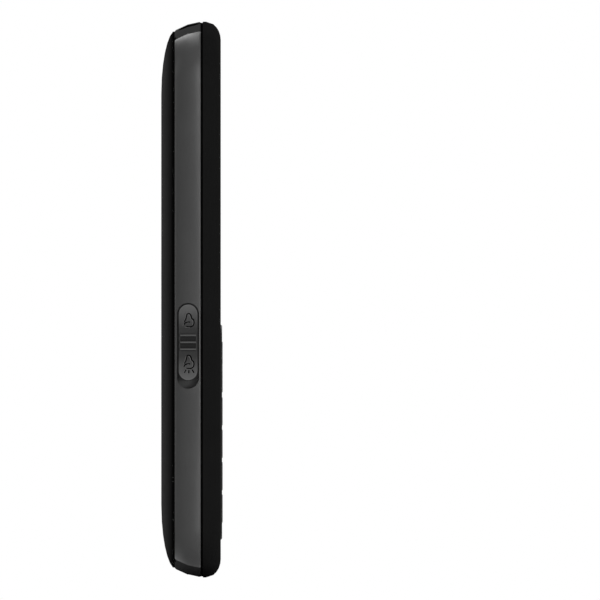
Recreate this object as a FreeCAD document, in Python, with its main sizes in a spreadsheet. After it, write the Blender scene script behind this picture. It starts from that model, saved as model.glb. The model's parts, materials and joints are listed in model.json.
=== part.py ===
import FreeCAD
import Part
import Sketcher
import math
import os

# Bar phone with big keys and a torch worked by a slide switch.
# Millimetres. +Z is the phone's top, the keys face -Y, the battery cover faces +Y,
# the torch slide is on the left side (-X) and the strap post on the right (+X).
# The origin is at the middle of the bottom end.

SIZES = [
    # Outer form
    ("body_height", 128.0, "overall height"),
    ("body_width", 55.5, "overall width"),
    ("front_depth", 6.63, "middle plane to the front face"),
    ("rear_depth", 7.08, "middle plane to the flat back"),
    ("corner_radius", 10.0, "corners seen from the front"),
    ("corner_turn", 66.0, "degrees that a corner turns before it meets the end"),
    ("end_arch", 2.2, "rise of the arched ends"),
    ("crown_ahead", 3.2, "highest line of the ends, ahead of the middle plane"),
    ("crown_radius", 13.35, "ends, seen from the side, across the band"),
    ("front_round_height", 4.24, "ends curving down to the front face"),
    ("front_rim_radius", 0.9, "long edges of the front face"),
    ("rear_round_start", 3.5, "where the ends start to curve to the back"),
    ("rear_round_height", 15.0, "ends curving down to the flat back"),
    ("rear_rim_width", 2.6, "rounding of the long edges of the back"),
    # Seams
    ("band_front", 1.99, "front edge of the grey band, ahead of the middle plane"),
    ("band_back", 3.98, "rear edge of the grey band"),
    ("front_seam", 0.5, "groove between front shell and band"),
    ("cover_seam", 0.36, "groove between band and battery cover"),
    ("seam_depth", 0.2, "depth of both grooves"),
    ("cover_gap", 0.01, "between the deck and the cover that lies on it"),
    ("band_bevel", 0.3, "bevel on both edges of the band"),
    ("band_bevel_depth", 0.15, ""),
    # Walls
    ("front_wall", 1.3, "front plate of the front shell"),
    ("side_wall", 1.4, "sides of the shells"),
    ("end_wall", 2.6, "ends of the front shell, at the crown"),
    ("band_end_wall", 3.7, "ends of the band, at the crown"),
    ("cover_wall", 1.1, "battery cover"),
    ("deck_front", 3.2, "underside of the deck below the cover"),
    # Battery bay
    ("battery_width", 34.4, ""),
    ("battery_height", 55.0, ""),
    ("battery_depth", 4.9, ""),
    ("battery_bottom", 27.4, "lower end of the battery above the base"),
    ("bay_clearance", 0.5, "round the battery"),
    ("bay_wall", 1.2, ""),
    ("bay_floor_front", 0.7, "front of the bay's floor, ahead of the middle plane"),
    ("bay_floor_back", 0.3, "floor that the battery lies on"),
    # Boards and keys, front to back
    ("board_back", 2.65, "rear side of the main board, ahead of the middle plane"),
    ("board_thickness", 1.0, ""),
    ("board_clearance", 0.5, "round the main board"),
    ("dome_sheet_thickness", 0.15, ""),
    ("dome_height", 0.25, ""),
    ("dome_radius", 1.9, ""),
    ("key_travel", 0.3, ""),
    ("key_air", 0.05, "left over a dome when its key is down"),
    ("key_rise", 0.45, "key faces in front of the front face"),
    ("surround_rise", 0.32, "surround in front of the front face"),
    ("surround_depth", 0.8, "surround let into the front plate"),
    ("surround_margin", 2.75, "front face left beside the surround"),
    ("surround_bottom", 8.65, "above the base"),
    ("surround_corner", 4.5, ""),
    ("surround_ledge", 1.25, "ledge that the surround is bonded to"),
    ("key_flange", 0.63, "thickness of a key's flange"),
    ("key_flange_width", 0.25, "flange beyond the key cap"),
    ("key_clearance", 0.2, "round a key cap"),
    ("key_side_border", 2.2, "surround left beside the keys"),
    ("key_end_border", 3.95, "surround left below and above the keys"),
    ("key_gap", 1.2, "between keys side by side"),
    ("key_row_gap", 0.85, "between rows of keys"),
    ("key_height", 6.6, "number keys"),
    ("key_corner", 0.8, "cut across the corners of a key cap"),
    ("key_bevel", 0.2, "round the face of a key cap"),
    ("ring_gap", 1.05, "between the number keys and the navigation ring"),
    ("ring_height", 11.75, ""),
    ("ring_corner", 2.2, "cut across the corners of the ring"),
    ("select_width", 6.4, ""),
    ("select_height", 4.6, ""),
    ("select_corner", 1.1, ""),
    ("plunger_width", 2.0, ""),
    ("ring_plunger_width", 1.6, ""),
    # Display
    ("window_side", 5.75, "front face left beside the window"),
    ("window_gap", 3.0, "front face left between the surround and the window"),
    ("window_margin", 11.7, "front face left above the window"),
    ("window_corner", 2.5, ""),
    ("window_thickness", 0.9, ""),
    ("window_sunk", 0.05, "window below the front face"),
    ("window_ledge", 2.6, "ledge that the window is bonded to"),
    ("opening_corner", 1.0, "corners of the opening behind the window"),
    ("display_inset", 0.8, "display inside the window's outline"),
    # Torch slide
    ("slot_width", 4.98, "torch slot, across the band"),
    ("slot_middle", 0.89, "middle of the slot, behind the middle plane"),
    ("slot_bottom", 43.5, "above the base"),
    ("slot_top", 63.2, "above the base"),
    ("slide_clearance", 0.19, "round the slide in its slot"),
    ("slide_length", 17.7, ""),
    ("slide_travel", 1.5, ""),
    ("slide_sunk", 0.1, "slide's face below the band"),
    ("slide_flange", 0.5, "flange beyond the slide inside the wall"),
    ("slide_flange_thickness", 0.7, ""),
    ("slide_flange_corner", 1.5, "cut across the flange's corners"),
    ("chamber_width", 3.0, "opening in the deck over the slide"),
    ("chamber_air", 0.5, "beyond the slide's flange at either end of its travel"),
    ("grip_rib_pitch", 1.61, ""),
    ("grip_rib_width", 0.62, ""),
    ("grip_rib_length", 3.66, ""),
    ("grip_rib_rise", 0.35, ""),
    ("grip_middle", 54.17, "middle rib above the base"),
    ("fork_reach", 2.5, "from the slide's flange to the middle of the knob"),
    ("fork_thickness", 1.0, ""),
    ("fork_ahead", 0.2, "front of the fork, ahead of the middle plane"),
    ("fork_wall", 1.2, ""),
    ("knob_width", 1.0, ""),
    ("knob_height", 1.2, ""),
    ("knob_ahead", 1.9, "front end of the knob, ahead of the middle plane"),
    ("switch_ahead", 1.0, "rear side of the switch, ahead of the middle plane"),
    ("switch_wall", 1.1, ""),
    # Strap post and cover notch
    ("strap_width", 2.74, "strap holes, across the band"),
    ("strap_middle", 0.93, "middle of the strap holes"),
    ("strap_low", 9.1, "lower edge of the side hole, below the top"),
    ("strap_high", 6.9, "upper edge of the side hole, below the top"),
    ("strap_inner", 6.95, "inner side of the end hole, in from the side"),
    ("strap_outer", 4.15, "outer side of the end hole, in from the side"),
    ("strap_block_inset", 1.0, "foot of the strap block, in from the shell's wall"),
    ("notch_bottom", 9.6, "fingernail notch above the base"),
    ("notch_length", 11.8, ""),
    ("notch_width", 0.87, ""),
    ("notch_middle", 3.43, "behind the middle plane"),
    ("notch_depth", 0.8, ""),
    # Parts on the board
    ("upper_can_width", 22.0, ""),
    ("upper_can_height", 18.0, ""),
    ("upper_can_left", 18.0, "left of the middle"),
    ("upper_can_down", 22.0, "its top below the phone's top"),
    ("lower_can_width", 30.0, ""),
    ("lower_can_up", 25.6, "above the battery's lower end"),
    ("can_gap", 8.0, "between the two cans"),
    ("can_air", 0.2, "between the cans and the bay"),
    ("holder_thickness", 1.6, "card holders"),
    ("sim_width", 17.0, ""),
    ("sim_height", 17.0, ""),
    ("card_width", 11.5, ""),
    ("card_height", 15.0, ""),
    ("holder_gap", 2.5, "between the two card holders"),
    ("holders_left", 15.0, "left of the middle"),
    ("holders_up", 4.1, "above the battery's lower end"),
    ("holder_margin", 0.5, "opening in the bay's floor round the holders"),
    ("contact_width", 10.0, "battery contacts"),
    ("contact_height", 2.2, ""),
    ("prong_width", 0.8, ""),
    ("prong_pitch", 3.0, ""),
    ("mic_width", 3.0, ""),
    ("mic_height", 3.3, ""),
    ("mic_depth", 2.25, ""),
    ("mic_up", 5.2, "above the base"),
    ("mic_hole_radius", 0.45, ""),
    ("motor_radius", 4.0, ""),
    ("motor_thickness", 2.7, ""),
    ("motor_across", 17.0, "right of the middle"),
    ("motor_up", 5.0, "above the upper can's lower end"),
    ("aerial_thickness", 0.5, ""),
    ("aerial_width", 13.0, ""),
    ("aerial_height", 12.5, ""),
    ("aerial_inset", 2.35, "inside the shell's wall"),
    ("aerial_up", 10.5, "above the base"),
    ("lamp_width", 3.4, ""),
    ("lamp_height", 2.9, ""),
    ("lamp_back", 2.2, "behind the middle plane"),
    ("lamp_air", 1.3, "under the torch lens's seat"),
    # Screws
    ("screw_radius", 0.8, ""),
    ("screw_head_radius", 1.4, ""),
    ("screw_head_height", 0.9, ""),
    ("boss_wall", 0.9, ""),
    ("screw_seat", 0.8, "under a screw head, ahead of the middle plane"),
    ("screw_end", 0.5, "from the screw's end to the front plate"),
    ("screw_inset", 11.75, "in from the side"),
    ("low_screw", 6.7, "above the base"),
    ("high_screw", 7.5, "below the top"),
    # Sockets and sound
    ("jack_radius", 1.8, "bore of the audio socket"),
    ("jack_length", 12.0, ""),
    ("jack_across", 10.0, ""),
    ("jack_middle", 0.35, "behind the middle plane"),
    ("jack_body", 5.6, ""),
    ("jack_end_wall", 2.0, ""),
    ("jack_air", 0.3, "round the plug, in the housing"),
    ("torch_across", 9.0, "torch lens left of the middle"),
    ("torch_middle", 0.6, ""),
    ("torch_radius", 2.45, ""),
    ("torch_seat", 3.4, "seat of the torch lens below the top"),
    ("torch_thickness", 1.4, ""),
    ("torch_ledge", 0.7, "ledge that the lens is bonded to"),
    ("torch_ledge_depth", 3.0, ""),
    ("usb_width", 7.8, ""),
    ("usb_middle", 0.45, "ahead of the middle plane"),
    ("usb_height", 2.4, ""),
    ("usb_mouth", 1.2, "above the base"),
    ("usb_depth", 6.0, ""),
    ("usb_wall", 0.4, ""),
    ("usb_air", 0.2, "round the socket, in the housing"),
    ("usb_tongue_inset", 1.6, ""),
    ("usb_tongue_thickness", 0.6, ""),
    ("usb_tongue_sunk", 0.8, "front of the tongue behind the mouth"),
    ("usb_foot_length", 2.2, ""),
    ("earpiece_slot", 9.0, ""),
    ("earpiece_slot_width", 1.2, ""),
    ("earpiece_down", 6.8, "below the top"),
    ("earpiece_width", 12.0, ""),
    ("earpiece_height", 5.2, ""),
    ("mesh_margin", 0.9, "mesh beyond the slot that it covers"),
    ("speaker_up", 18.6, "above the base"),
    ("speaker_width", 16.0, ""),
    ("speaker_height", 7.0, ""),
    ("speaker_ahead", 0.4, "front of the loudspeaker, ahead of the middle plane"),
    ("sound_hole_margin", 1.5, "ledge of the sound opening beside the loudspeaker"),
    ("speaker_mesh_thickness", 0.2, ""),
    ("sound_slot", 5.0, ""),
    ("sound_slot_width", 1.0, ""),
    ("sound_slot_pitch", 2.2, ""),
    ("sound_slot_rise", 0.9, "slots above the middle of the loudspeaker"),
    ("tongue_length", 4.0, "tongues of the battery cover"),
    ("tongue_thickness", 0.7, ""),
    ("tongue_inset", 1.9, "inside the shell's wall"),
    ("tongue_slack", 0.2, "round a tongue in its slot"),
    ("tongue_low", 32.0, "lowest tongues above the base"),
    ("tongue_pitch", 37.0, ""),
    ("tongue_root_depth", 0.66, "tongues let into the cover's wall"),
    ("fit", 0.05, "between pieces that are fitted together"),
]

doc = FreeCAD.newDocument("bar_phone")
sheet = doc.addObject("Spreadsheet::Sheet", "dims")


class Size:
    """A length that carries its number and the spreadsheet formula behind it."""

    def __init__(self, number, formula):
        self.number = float(number)
        self.formula = formula

    def __float__(self):
        return self.number

    def __add__(self, other):
        other = as_size(other)
        return Size(self.number + other.number, f"({self.formula} + {other.formula})")

    def __radd__(self, other):
        return as_size(other) + self

    def __sub__(self, other):
        other = as_size(other)
        return Size(self.number - other.number, f"({self.formula} - {other.formula})")

    def __rsub__(self, other):
        return as_size(other) - self

    def __mul__(self, other):
        other = as_size(other)
        return Size(self.number * other.number, f"({self.formula} * {other.formula})")

    def __rmul__(self, other):
        return as_size(other) * self

    def __truediv__(self, other):
        other = as_size(other)
        return Size(self.number / other.number, f"({self.formula} / {other.formula})")

    def __neg__(self):
        return Size(-self.number, f"(0 - {self.formula})")


def as_size(value):
    if isinstance(value, Size):
        return value
    return Size(value, repr(float(value)))


def sine(angle):
    angle = as_size(angle)
    return Size(math.sin(math.radians(angle.number)), f"sin({angle.formula} * 1deg)")


def cosine(angle):
    angle = as_size(angle)
    return Size(math.cos(math.radians(angle.number)), f"cos({angle.formula} * 1deg)")


def root(value):
    return Size(math.sqrt(value.number), f"sqrt({value.formula})")


def larger(one, other):
    one, other = as_size(one), as_size(other)
    return Size(max(one.number, other.number), f"max({one.formula}; {other.formula})")


class Dimensions:
    """The spreadsheet's sizes by name."""

    def __init__(self, rows):
        for row, (name, number, note) in enumerate(rows, start=1):
            sheet.set(f"A{row}", name)
            sheet.set(f"B{row}", str(number))
            sheet.set(f"C{row}", note)
            sheet.setAlias(f"B{row}", name)
            setattr(self, name, Size(number, "dims." + name))


d = Dimensions(SIZES)
doc.recompute()


def bind(target, path, size):
    target.setExpression(path, as_size(size).formula)


# Each origin plane's own axes and the way its normal points.
NORMALS = {"XY_Plane": "+Z", "XZ_Plane": "-Y", "YZ_Plane": "+X"}

pieces = {}


def keep(piece, label):
    """A finished sub-part: its label is its node's name."""
    piece.Label = label
    pieces[label] = piece
    return piece


class Body:
    """A PartDesign body with short ways to sketch, pad, cut and loft."""

    def __init__(self, label):
        self.body = doc.addObject("PartDesign::Body", label)
        self.plane_of = {}
        keep(self.body, label)

    def sketch(self, plane, at, name="outline"):
        """A sketch parallel to an origin plane, at a coordinate along that plane's axis."""
        origin = self.body.Origin.OriginFeatures
        support = next(feature for feature in origin if feature.Role == plane)
        sketch = self.body.newObject("Sketcher::SketchObject", f"{self.body.Name}_{name}")
        sketch.AttachmentSupport = [(support, "")]
        sketch.MapMode = "FlatFace"
        offset = -as_size(at) if plane == "XZ_Plane" else as_size(at)
        bind(sketch, "AttachmentOffset.Base.z", offset)
        self.plane_of[sketch.Name] = plane
        return sketch

    def volume(self):
        doc.recompute()
        shape = self.body.Shape
        return shape.Volume if not shape.isNull() else 0.0

    def checked(self, feature, before, grows):
        """A feature that turned out empty or cut nothing stops the build."""
        feature.Refine = False
        self.body.Tip = feature
        after = self.volume()
        if grows != (after > before) or after == before:
            raise RuntimeError(f"{feature.Name} changed {before:.2f} mm3 to {after:.2f} mm3")
        return feature

    def pad(self, sketch, length, towards):
        before = self.volume()
        feature = self.body.newObject("PartDesign::Pad", f"{sketch.Name}_pad")
        feature.Profile = sketch
        feature.Reversed = NORMALS[self.plane_of[sketch.Name]] != towards
        bind(feature, "Length", length)
        return self.checked(feature, before, grows=True)

    def cut(self, sketch, length, towards):
        before = self.volume()
        feature = self.body.newObject("PartDesign::Pocket", f"{sketch.Name}_cut")
        feature.Profile = sketch
        feature.Reversed = NORMALS[self.plane_of[sketch.Name]] == towards
        bind(feature, "Length", length)
        return self.checked(feature, before, grows=False)

    def loft(self, sketches, adds=True):
        before = self.volume()
        kind = "PartDesign::AdditiveLoft" if adds else "PartDesign::SubtractiveLoft"
        feature = self.body.newObject(kind, f"{sketches[0].Name}_loft")
        feature.Profile = sketches[0]
        feature.Sections = sketches[1:]
        feature.Ruled = True
        return self.checked(feature, before, grows=adds)

    def repeat(self, feature, axis, length, count):
        """A row of copies of a feature along one of the body's own axes."""
        before = self.volume()
        grows = "Pad" in feature.TypeId
        pattern = self.body.newObject("PartDesign::LinearPattern", f"{feature.Name}_row")
        pattern.Originals = [feature]
        origin = self.body.Origin.OriginFeatures
        direction = next(item for item in origin if item.Role == axis)
        pattern.Direction = (direction, [""])
        bind(pattern, "Length", length)
        pattern.Occurrences = count
        return self.checked(pattern, before, grows)

    def bevel(self, size, face):
        """A chamfer on every edge of a flat face at one depth of the phone."""
        before = self.volume()
        base = self.body.Tip
        names = []
        for number, edge in enumerate(base.Shape.Edges, start=1):
            box = edge.BoundBox
            if max(abs(box.YMin - float(face)), abs(box.YMax - float(face))) < 1e-4:
                names.append(f"Edge{number}")
        feature = self.body.newObject("PartDesign::Chamfer", f"{base.Name}_bevel")
        feature.Base = (base, names)
        bind(feature, "Size", size)
        return self.checked(feature, before, grows=False)


# Outlines drawn in a sketch

def constrain(sketch, kind, *arguments):
    return sketch.addConstraint(Sketcher.Constraint(kind, *arguments))


def pin_across(sketch, geometry, point, size):
    """Holds a point's first coordinate at a size."""
    index = constrain(sketch, "DistanceX", -1, 1, geometry, point, float(size))
    bind(sketch, f"Constraints[{index}]", size)


def pin_up(sketch, geometry, point, size):
    """Holds a point's second coordinate at a size."""
    index = constrain(sketch, "DistanceY", -1, 1, geometry, point, float(size))
    bind(sketch, f"Constraints[{index}]", size)


def pin_radius(sketch, geometry, size):
    index = constrain(sketch, "Radius", geometry, float(size))
    bind(sketch, f"Constraints[{index}]", size)


def point(across, up):
    return FreeCAD.Vector(float(across), float(up), 0)


def line(sketch, start, end):
    return sketch.addGeometry(Part.LineSegment(point(*start), point(*end)), False)


def arc(sketch, centre, radius, start, end):
    circle_of_arc = Part.Circle(point(*centre), FreeCAD.Vector(0, 0, 1), float(radius))
    return sketch.addGeometry(
        Part.ArcOfCircle(circle_of_arc, math.radians(start), math.radians(end)), False)


def circle(sketch, across, up, radius):
    whole = Part.Circle(point(across, up), FreeCAD.Vector(0, 0, 1), float(radius))
    index = sketch.addGeometry(whole, False)
    pin_across(sketch, index, 3, across)
    pin_up(sketch, index, 3, up)
    pin_radius(sketch, index, radius)


def rounded_rectangle(sketch, across, up, width, height, radius):
    """A rectangle centred at (across, up) with four equal round corners."""
    left, right = across - width / 2, across + width / 2
    bottom, top = up - height / 2, up + height / 2
    inner_left, inner_right = left + radius, right - radius
    inner_bottom, inner_top = bottom + radius, top - radius
    sides = [
        ((inner_left, bottom), (inner_right, bottom)),
        ((right, inner_bottom), (right, inner_top)),
        ((inner_right, top), (inner_left, top)),
        ((left, inner_top), (left, inner_bottom)),
    ]
    centres = [
        (inner_right, inner_bottom),
        (inner_right, inner_top),
        (inner_left, inner_top),
        (inner_left, inner_bottom),
    ]
    lines, arcs = [], []
    for quarter, (side, centre) in enumerate(zip(sides, centres)):
        lines.append(line(sketch, *side))
        arcs.append(arc(sketch, centre, radius, 90 * quarter - 90, 90 * quarter))
    for quarter in range(4):
        constrain(sketch, "Tangent", lines[quarter], 2, arcs[quarter], 1)
        constrain(sketch, "Tangent", arcs[quarter], 2, lines[(quarter + 1) % 4], 1)
        constrain(sketch, "Horizontal" if quarter % 2 == 0 else "Vertical", lines[quarter])
    for other in arcs[1:]:
        constrain(sketch, "Equal", arcs[0], other)
    pin_radius(sketch, arcs[0], radius)
    pin_up(sketch, lines[0], 1, bottom)
    pin_across(sketch, lines[1], 1, right)
    pin_up(sketch, lines[2], 1, top)
    pin_across(sketch, lines[3], 1, left)


def polygon(sketch, corners):
    """Straight sides through a few corners, each corner held at its sizes."""
    count = len(corners)
    segments = [Part.LineSegment(point(*corners[i]), point(*corners[(i + 1) % count]))
                for i in range(count)]
    sides = sketch.addGeometry(segments, False)
    rules, sizes = [], []
    for i, (across, up) in enumerate(corners):
        rules.append(Sketcher.Constraint("Coincident", sides[i - 1], 2, sides[i], 1))
        rules.append(Sketcher.Constraint("DistanceX", -1, 1, sides[i], 1, float(across)))
        rules.append(Sketcher.Constraint("DistanceY", -1, 1, sides[i], 1, float(up)))
        sizes += [None, across, up]
    for index, size in zip(sketch.addConstraint(rules), sizes):
        if size is not None:
            bind(sketch, f"Constraints[{index}]", size)


def rectangle(sketch, left, right, bottom, top):
    polygon(sketch, [(left, bottom), (right, bottom), (right, top), (left, top)])


def centred_rectangle(sketch, across, up, width, height):
    rectangle(sketch, across - width / 2, across + width / 2, up - height / 2, up + height / 2)


def cut_rectangle(sketch, across, up, width, height, corner):
    """A rectangle centred at (across, up) with its corners cut at 45 degrees."""
    left, right = across - width / 2, across + width / 2
    bottom, top = up - height / 2, up + height / 2
    polygon(sketch, [
        (left + corner, bottom), (right - corner, bottom),
        (right, bottom + corner), (right, top - corner),
        (right - corner, top), (left + corner, top),
        (left, top - corner), (left, bottom + corner),
    ])


def octagon(sketch, across, up, radius):
    """Eight sides round a circle of this radius."""
    width = 2 * radius
    cut_rectangle(sketch, across, up, width, width, (2 - math.sqrt(2)) * radius)


def upright_slot(sketch, across, bottom, top, width):
    """A slot with round ends that runs up and down."""
    radius = width / 2
    left, right = across - radius, across + radius
    low, high = bottom + radius, top - radius
    lower = arc(sketch, (across, low), radius, 180, 360)
    right_side = line(sketch, (right, low), (right, high))
    upper = arc(sketch, (across, high), radius, 0, 180)
    left_side = line(sketch, (left, high), (left, low))
    constrain(sketch, "Tangent", lower, 2, right_side, 1)
    constrain(sketch, "Tangent", right_side, 2, upper, 1)
    constrain(sketch, "Tangent", upper, 2, left_side, 1)
    constrain(sketch, "Tangent", left_side, 2, lower, 1)
    constrain(sketch, "Equal", lower, upper)
    constrain(sketch, "Vertical", right_side)
    pin_radius(sketch, lower, radius)
    pin_across(sketch, lower, 3, across)
    pin_up(sketch, lower, 3, low)
    pin_up(sketch, upper, 3, high)


def arched_outline(sketch, half_width, top, corner):
    """The phone's outline from the front: straight sides, round corners, arched ends.

    A corner turns through corner_turn degrees and then meets the end's arch at a crease.
    """
    bottom = d.body_height - top
    straight_top = top - d.end_arch - corner * sine(d.corner_turn)
    straight_bottom = d.body_height - straight_top
    corner_across = half_width - corner
    crease_across = corner_across + corner * cosine(d.corner_turn)
    arch_radius = (crease_across * crease_across + d.end_arch * d.end_arch) / (2 * d.end_arch)
    top_centre = top - arch_radius
    bottom_centre = bottom + arch_radius
    turn = float(d.corner_turn)
    half_arch = math.degrees(math.asin(float(crease_across) / float(arch_radius)))

    right_side = line(sketch, (half_width, straight_bottom), (half_width, straight_top))
    top_right = arc(sketch, (corner_across, straight_top), corner, 0, turn)
    top_arch = arc(sketch, (0, top_centre), arch_radius, 90 - half_arch, 90 + half_arch)
    top_left = arc(sketch, (-corner_across, straight_top), corner, 180 - turn, 180)
    left_side = line(sketch, (-half_width, straight_top), (-half_width, straight_bottom))
    bottom_left = arc(sketch, (-corner_across, straight_bottom), corner, 180, 180 + turn)
    bottom_arch = arc(sketch, (0, bottom_centre), arch_radius,
                      270 - half_arch, 270 + half_arch)
    bottom_right = arc(sketch, (corner_across, straight_bottom), corner, 360 - turn, 360)

    constrain(sketch, "Tangent", right_side, 2, top_right, 1)
    constrain(sketch, "Coincident", top_right, 2, top_arch, 1)
    constrain(sketch, "Coincident", top_arch, 2, top_left, 1)
    constrain(sketch, "Tangent", top_left, 2, left_side, 1)
    constrain(sketch, "Tangent", left_side, 2, bottom_left, 1)
    constrain(sketch, "Coincident", bottom_left, 2, bottom_arch, 1)
    constrain(sketch, "Coincident", bottom_arch, 2, bottom_right, 1)
    constrain(sketch, "Tangent", bottom_right, 2, right_side, 1)
    constrain(sketch, "Vertical", right_side)
    constrain(sketch, "Vertical", left_side)
    for other in (top_left, bottom_left, bottom_right):
        constrain(sketch, "Equal", top_right, other)
    constrain(sketch, "Equal", top_arch, bottom_arch)
    pin_radius(sketch, top_right, corner)
    pin_radius(sketch, top_arch, arch_radius)
    pin_across(sketch, right_side, 1, half_width)
    pin_across(sketch, left_side, 1, -half_width)
    for corner_arc, height in ((top_right, straight_top), (top_left, straight_top),
                               (bottom_left, straight_bottom), (bottom_right, straight_bottom)):
        pin_up(sketch, corner_arc, 3, height)
    for arch, height in ((top_arch, top_centre), (bottom_arch, bottom_centre)):
        constrain(sketch, "PointOnObject", arch, 3, -2)
        pin_up(sketch, arch, 3, height)


# Plain pieces

def box(label, left, right, front, back, bottom, top):
    piece = doc.addObject("Part::Box", label)
    bind(piece, "Length", as_size(right) - left)
    bind(piece, "Width", as_size(back) - front)
    bind(piece, "Height", as_size(top) - bottom)
    bind(piece, "Placement.Base.x", left)
    bind(piece, "Placement.Base.y", front)
    bind(piece, "Placement.Base.z", bottom)
    return piece


def rod(label, across, deep, up, radius, length, along):
    """A cylinder from a point, along "+Y" or "+Z"."""
    piece = doc.addObject("Part::Cylinder", label)
    bind(piece, "Radius", radius)
    bind(piece, "Height", length)
    if along == "+Y":
        piece.Placement.Rotation = FreeCAD.Rotation(FreeCAD.Vector(1, 0, 0), -90)
    bind(piece, "Placement.Base.x", across)
    bind(piece, "Placement.Base.y", deep)
    bind(piece, "Placement.Base.z", up)
    return piece


def less(label, base, tool):
    """A base with a tool taken away."""
    result = doc.addObject("Part::Cut", label)
    result.Base = base
    result.Tool = tool
    return result


def joined(label, shapes):
    result = doc.addObject("Part::MultiFuse", label)
    result.Shapes = shapes
    return result


# Levels, front to back
half_width = d.body_width / 2
surround_width = d.body_width - 2 * d.surround_margin
key_width = (surround_width - 2 * d.key_side_border - 2 * d.key_gap) / 3
key_pitch_across = key_width + d.key_gap
key_pitch_up = d.key_height + d.key_row_gap
keys_bottom = d.surround_bottom + d.key_end_border
ring_bottom = keys_bottom + 3 * key_pitch_up + d.key_height + d.ring_gap
surround_top = ring_bottom + d.ring_height + d.key_end_border
window_bottom = surround_top + d.window_gap
window_width = d.body_width - 2 * d.window_side
window_top = d.body_height - d.window_margin
earpiece_up = d.body_height - d.earpiece_down
bay_bottom = d.battery_bottom - d.bay_clearance
bay_top = d.battery_bottom + d.battery_height + d.bay_clearance
torch_floor = d.body_height - d.torch_seat
jack_top = d.body_height - d.band_end_wall - d.end_arch / 2
front_face = -d.front_depth
key_face = front_face - d.key_rise
surround_face = front_face - d.surround_rise
surround_seat = front_face + d.surround_depth
flange_front = surround_seat + d.fit
flange_back = surround_seat + d.key_flange
front_plate_back = front_face + d.front_wall
board_back = -d.board_back
board_front = board_back - d.board_thickness
sheet_front = board_front - d.dome_sheet_thickness
dome_top = sheet_front - d.dome_height
plunger_end = dome_top - d.key_air - d.key_travel
shell_back = -d.band_front - d.front_seam
band_front = -d.band_front
deck_back = d.band_back + d.cover_seam
cover_front = deck_back + d.cover_gap


def crown(depth):
    """Height of the ends at a depth, across the band."""
    ahead = depth + d.crown_ahead
    drop = d.crown_radius - root(d.crown_radius * d.crown_radius - ahead * ahead)
    return d.body_height - drop


# Front housing: the black shell with the display window and the keypad opening

def front_rim(depth):
    """Half width where the long edges round into the front face."""
    beyond = larger(-depth - (d.front_depth - d.front_rim_radius), 0)
    radius = d.front_rim_radius
    return half_width - radius + root(larger(radius * radius - beyond * beyond, 0))


FRONT_STATIONS = (0, 30, 47, 61, 76, 90)

housing = Body("front_housing")
sections = []
back_section = housing.sketch("XZ_Plane", shell_back, "seam")
arched_outline(back_section, half_width, crown(shell_back), d.corner_radius)
sections.append(back_section)
for angle in FRONT_STATIONS:
    depth = -d.crown_ahead - (d.front_depth - d.crown_ahead) * sine(angle)
    top = d.body_height - d.front_round_height * (1 - cosine(angle))
    section = housing.sketch("XZ_Plane", depth, f"section_{angle}")
    arched_outline(section, front_rim(depth), top, d.corner_radius)
    sections.append(section)
housing.loft(sections)

hollow = housing.sketch("XZ_Plane", shell_back, "hollow")
inner_half_width = half_width - d.side_wall
inner_corner = d.corner_radius - d.side_wall
arched_outline(hollow, inner_half_width, d.body_height - d.end_wall, inner_corner)
housing.cut(hollow, shell_back - front_plate_back, "-Y")

surround_up = (d.surround_bottom + surround_top) / 2
surround_height = surround_top - d.surround_bottom
recess = housing.sketch("XZ_Plane", front_face, "surround_seat")
rounded_rectangle(recess, as_size(0), surround_up, surround_width + 2 * d.fit,
                  surround_height + 2 * d.fit, d.surround_corner)
housing.cut(recess, d.surround_depth, "+Y")
opening = housing.sketch("XZ_Plane", front_face, "key_opening")
rounded_rectangle(opening, as_size(0), surround_up, surround_width - 2 * d.surround_ledge,
                  surround_height - 2 * d.surround_ledge, d.surround_corner - d.surround_ledge)
housing.cut(opening, d.front_wall, "+Y")

window_up = (window_bottom + window_top) / 2
window_height = window_top - window_bottom
recess = housing.sketch("XZ_Plane", front_face, "window_seat")
rounded_rectangle(recess, as_size(0), window_up, window_width + 2 * d.fit,
                  window_height + 2 * d.fit, d.window_corner)
housing.cut(recess, d.window_thickness + d.window_sunk, "+Y")
opening = housing.sketch("XZ_Plane", front_face, "display_opening")
rounded_rectangle(opening, as_size(0), window_up, window_width - 2 * d.window_ledge,
                  window_height - 2 * d.window_ledge, d.opening_corner)
housing.cut(opening, d.front_wall, "+Y")

earpiece_mesh_front = front_face + d.front_wall / 2
slot = housing.sketch("XZ_Plane", front_face, "earpiece_slot")
cut_rectangle(slot, as_size(0), earpiece_up, d.earpiece_slot, d.earpiece_slot_width,
              d.earpiece_slot_width / 3)
housing.cut(slot, d.front_wall, "+Y")
mesh_width = d.earpiece_slot + 2 * d.mesh_margin
mesh_height = d.earpiece_slot_width + 2 * d.mesh_margin
slot = housing.sketch("XZ_Plane", earpiece_mesh_front, "earpiece_mesh_seat")
centred_rectangle(slot, as_size(0), earpiece_up, mesh_width + 2 * d.fit,
                  mesh_height + 2 * d.fit)
housing.cut(slot, d.front_wall / 2, "+Y")

screw_across = half_width - d.screw_inset
screw_places = []
for up in (d.low_screw, d.body_height - d.high_screw):
    screw_places += [(screw_across, up), (-screw_across, up)]
screw_hole_radius = d.screw_radius + d.fit / 2


def at_screws(body, at, outline_of, radius, name):
    """A sketch with the same outline at every screw."""
    sketch = body.sketch("XZ_Plane", at, name)
    for across, up in screw_places:
        outline_of(sketch, across, up, radius)
    return sketch


bosses = at_screws(housing, front_plate_back, octagon, d.screw_radius + d.boss_wall, "bosses")
housing.pad(bosses, board_front - front_plate_back, "+Y")
pilots = at_screws(housing, board_front, circle, screw_hole_radius, "pilots")
housing.cut(pilots, board_front - front_plate_back, "-Y")


# Keypad surround and keys

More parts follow.
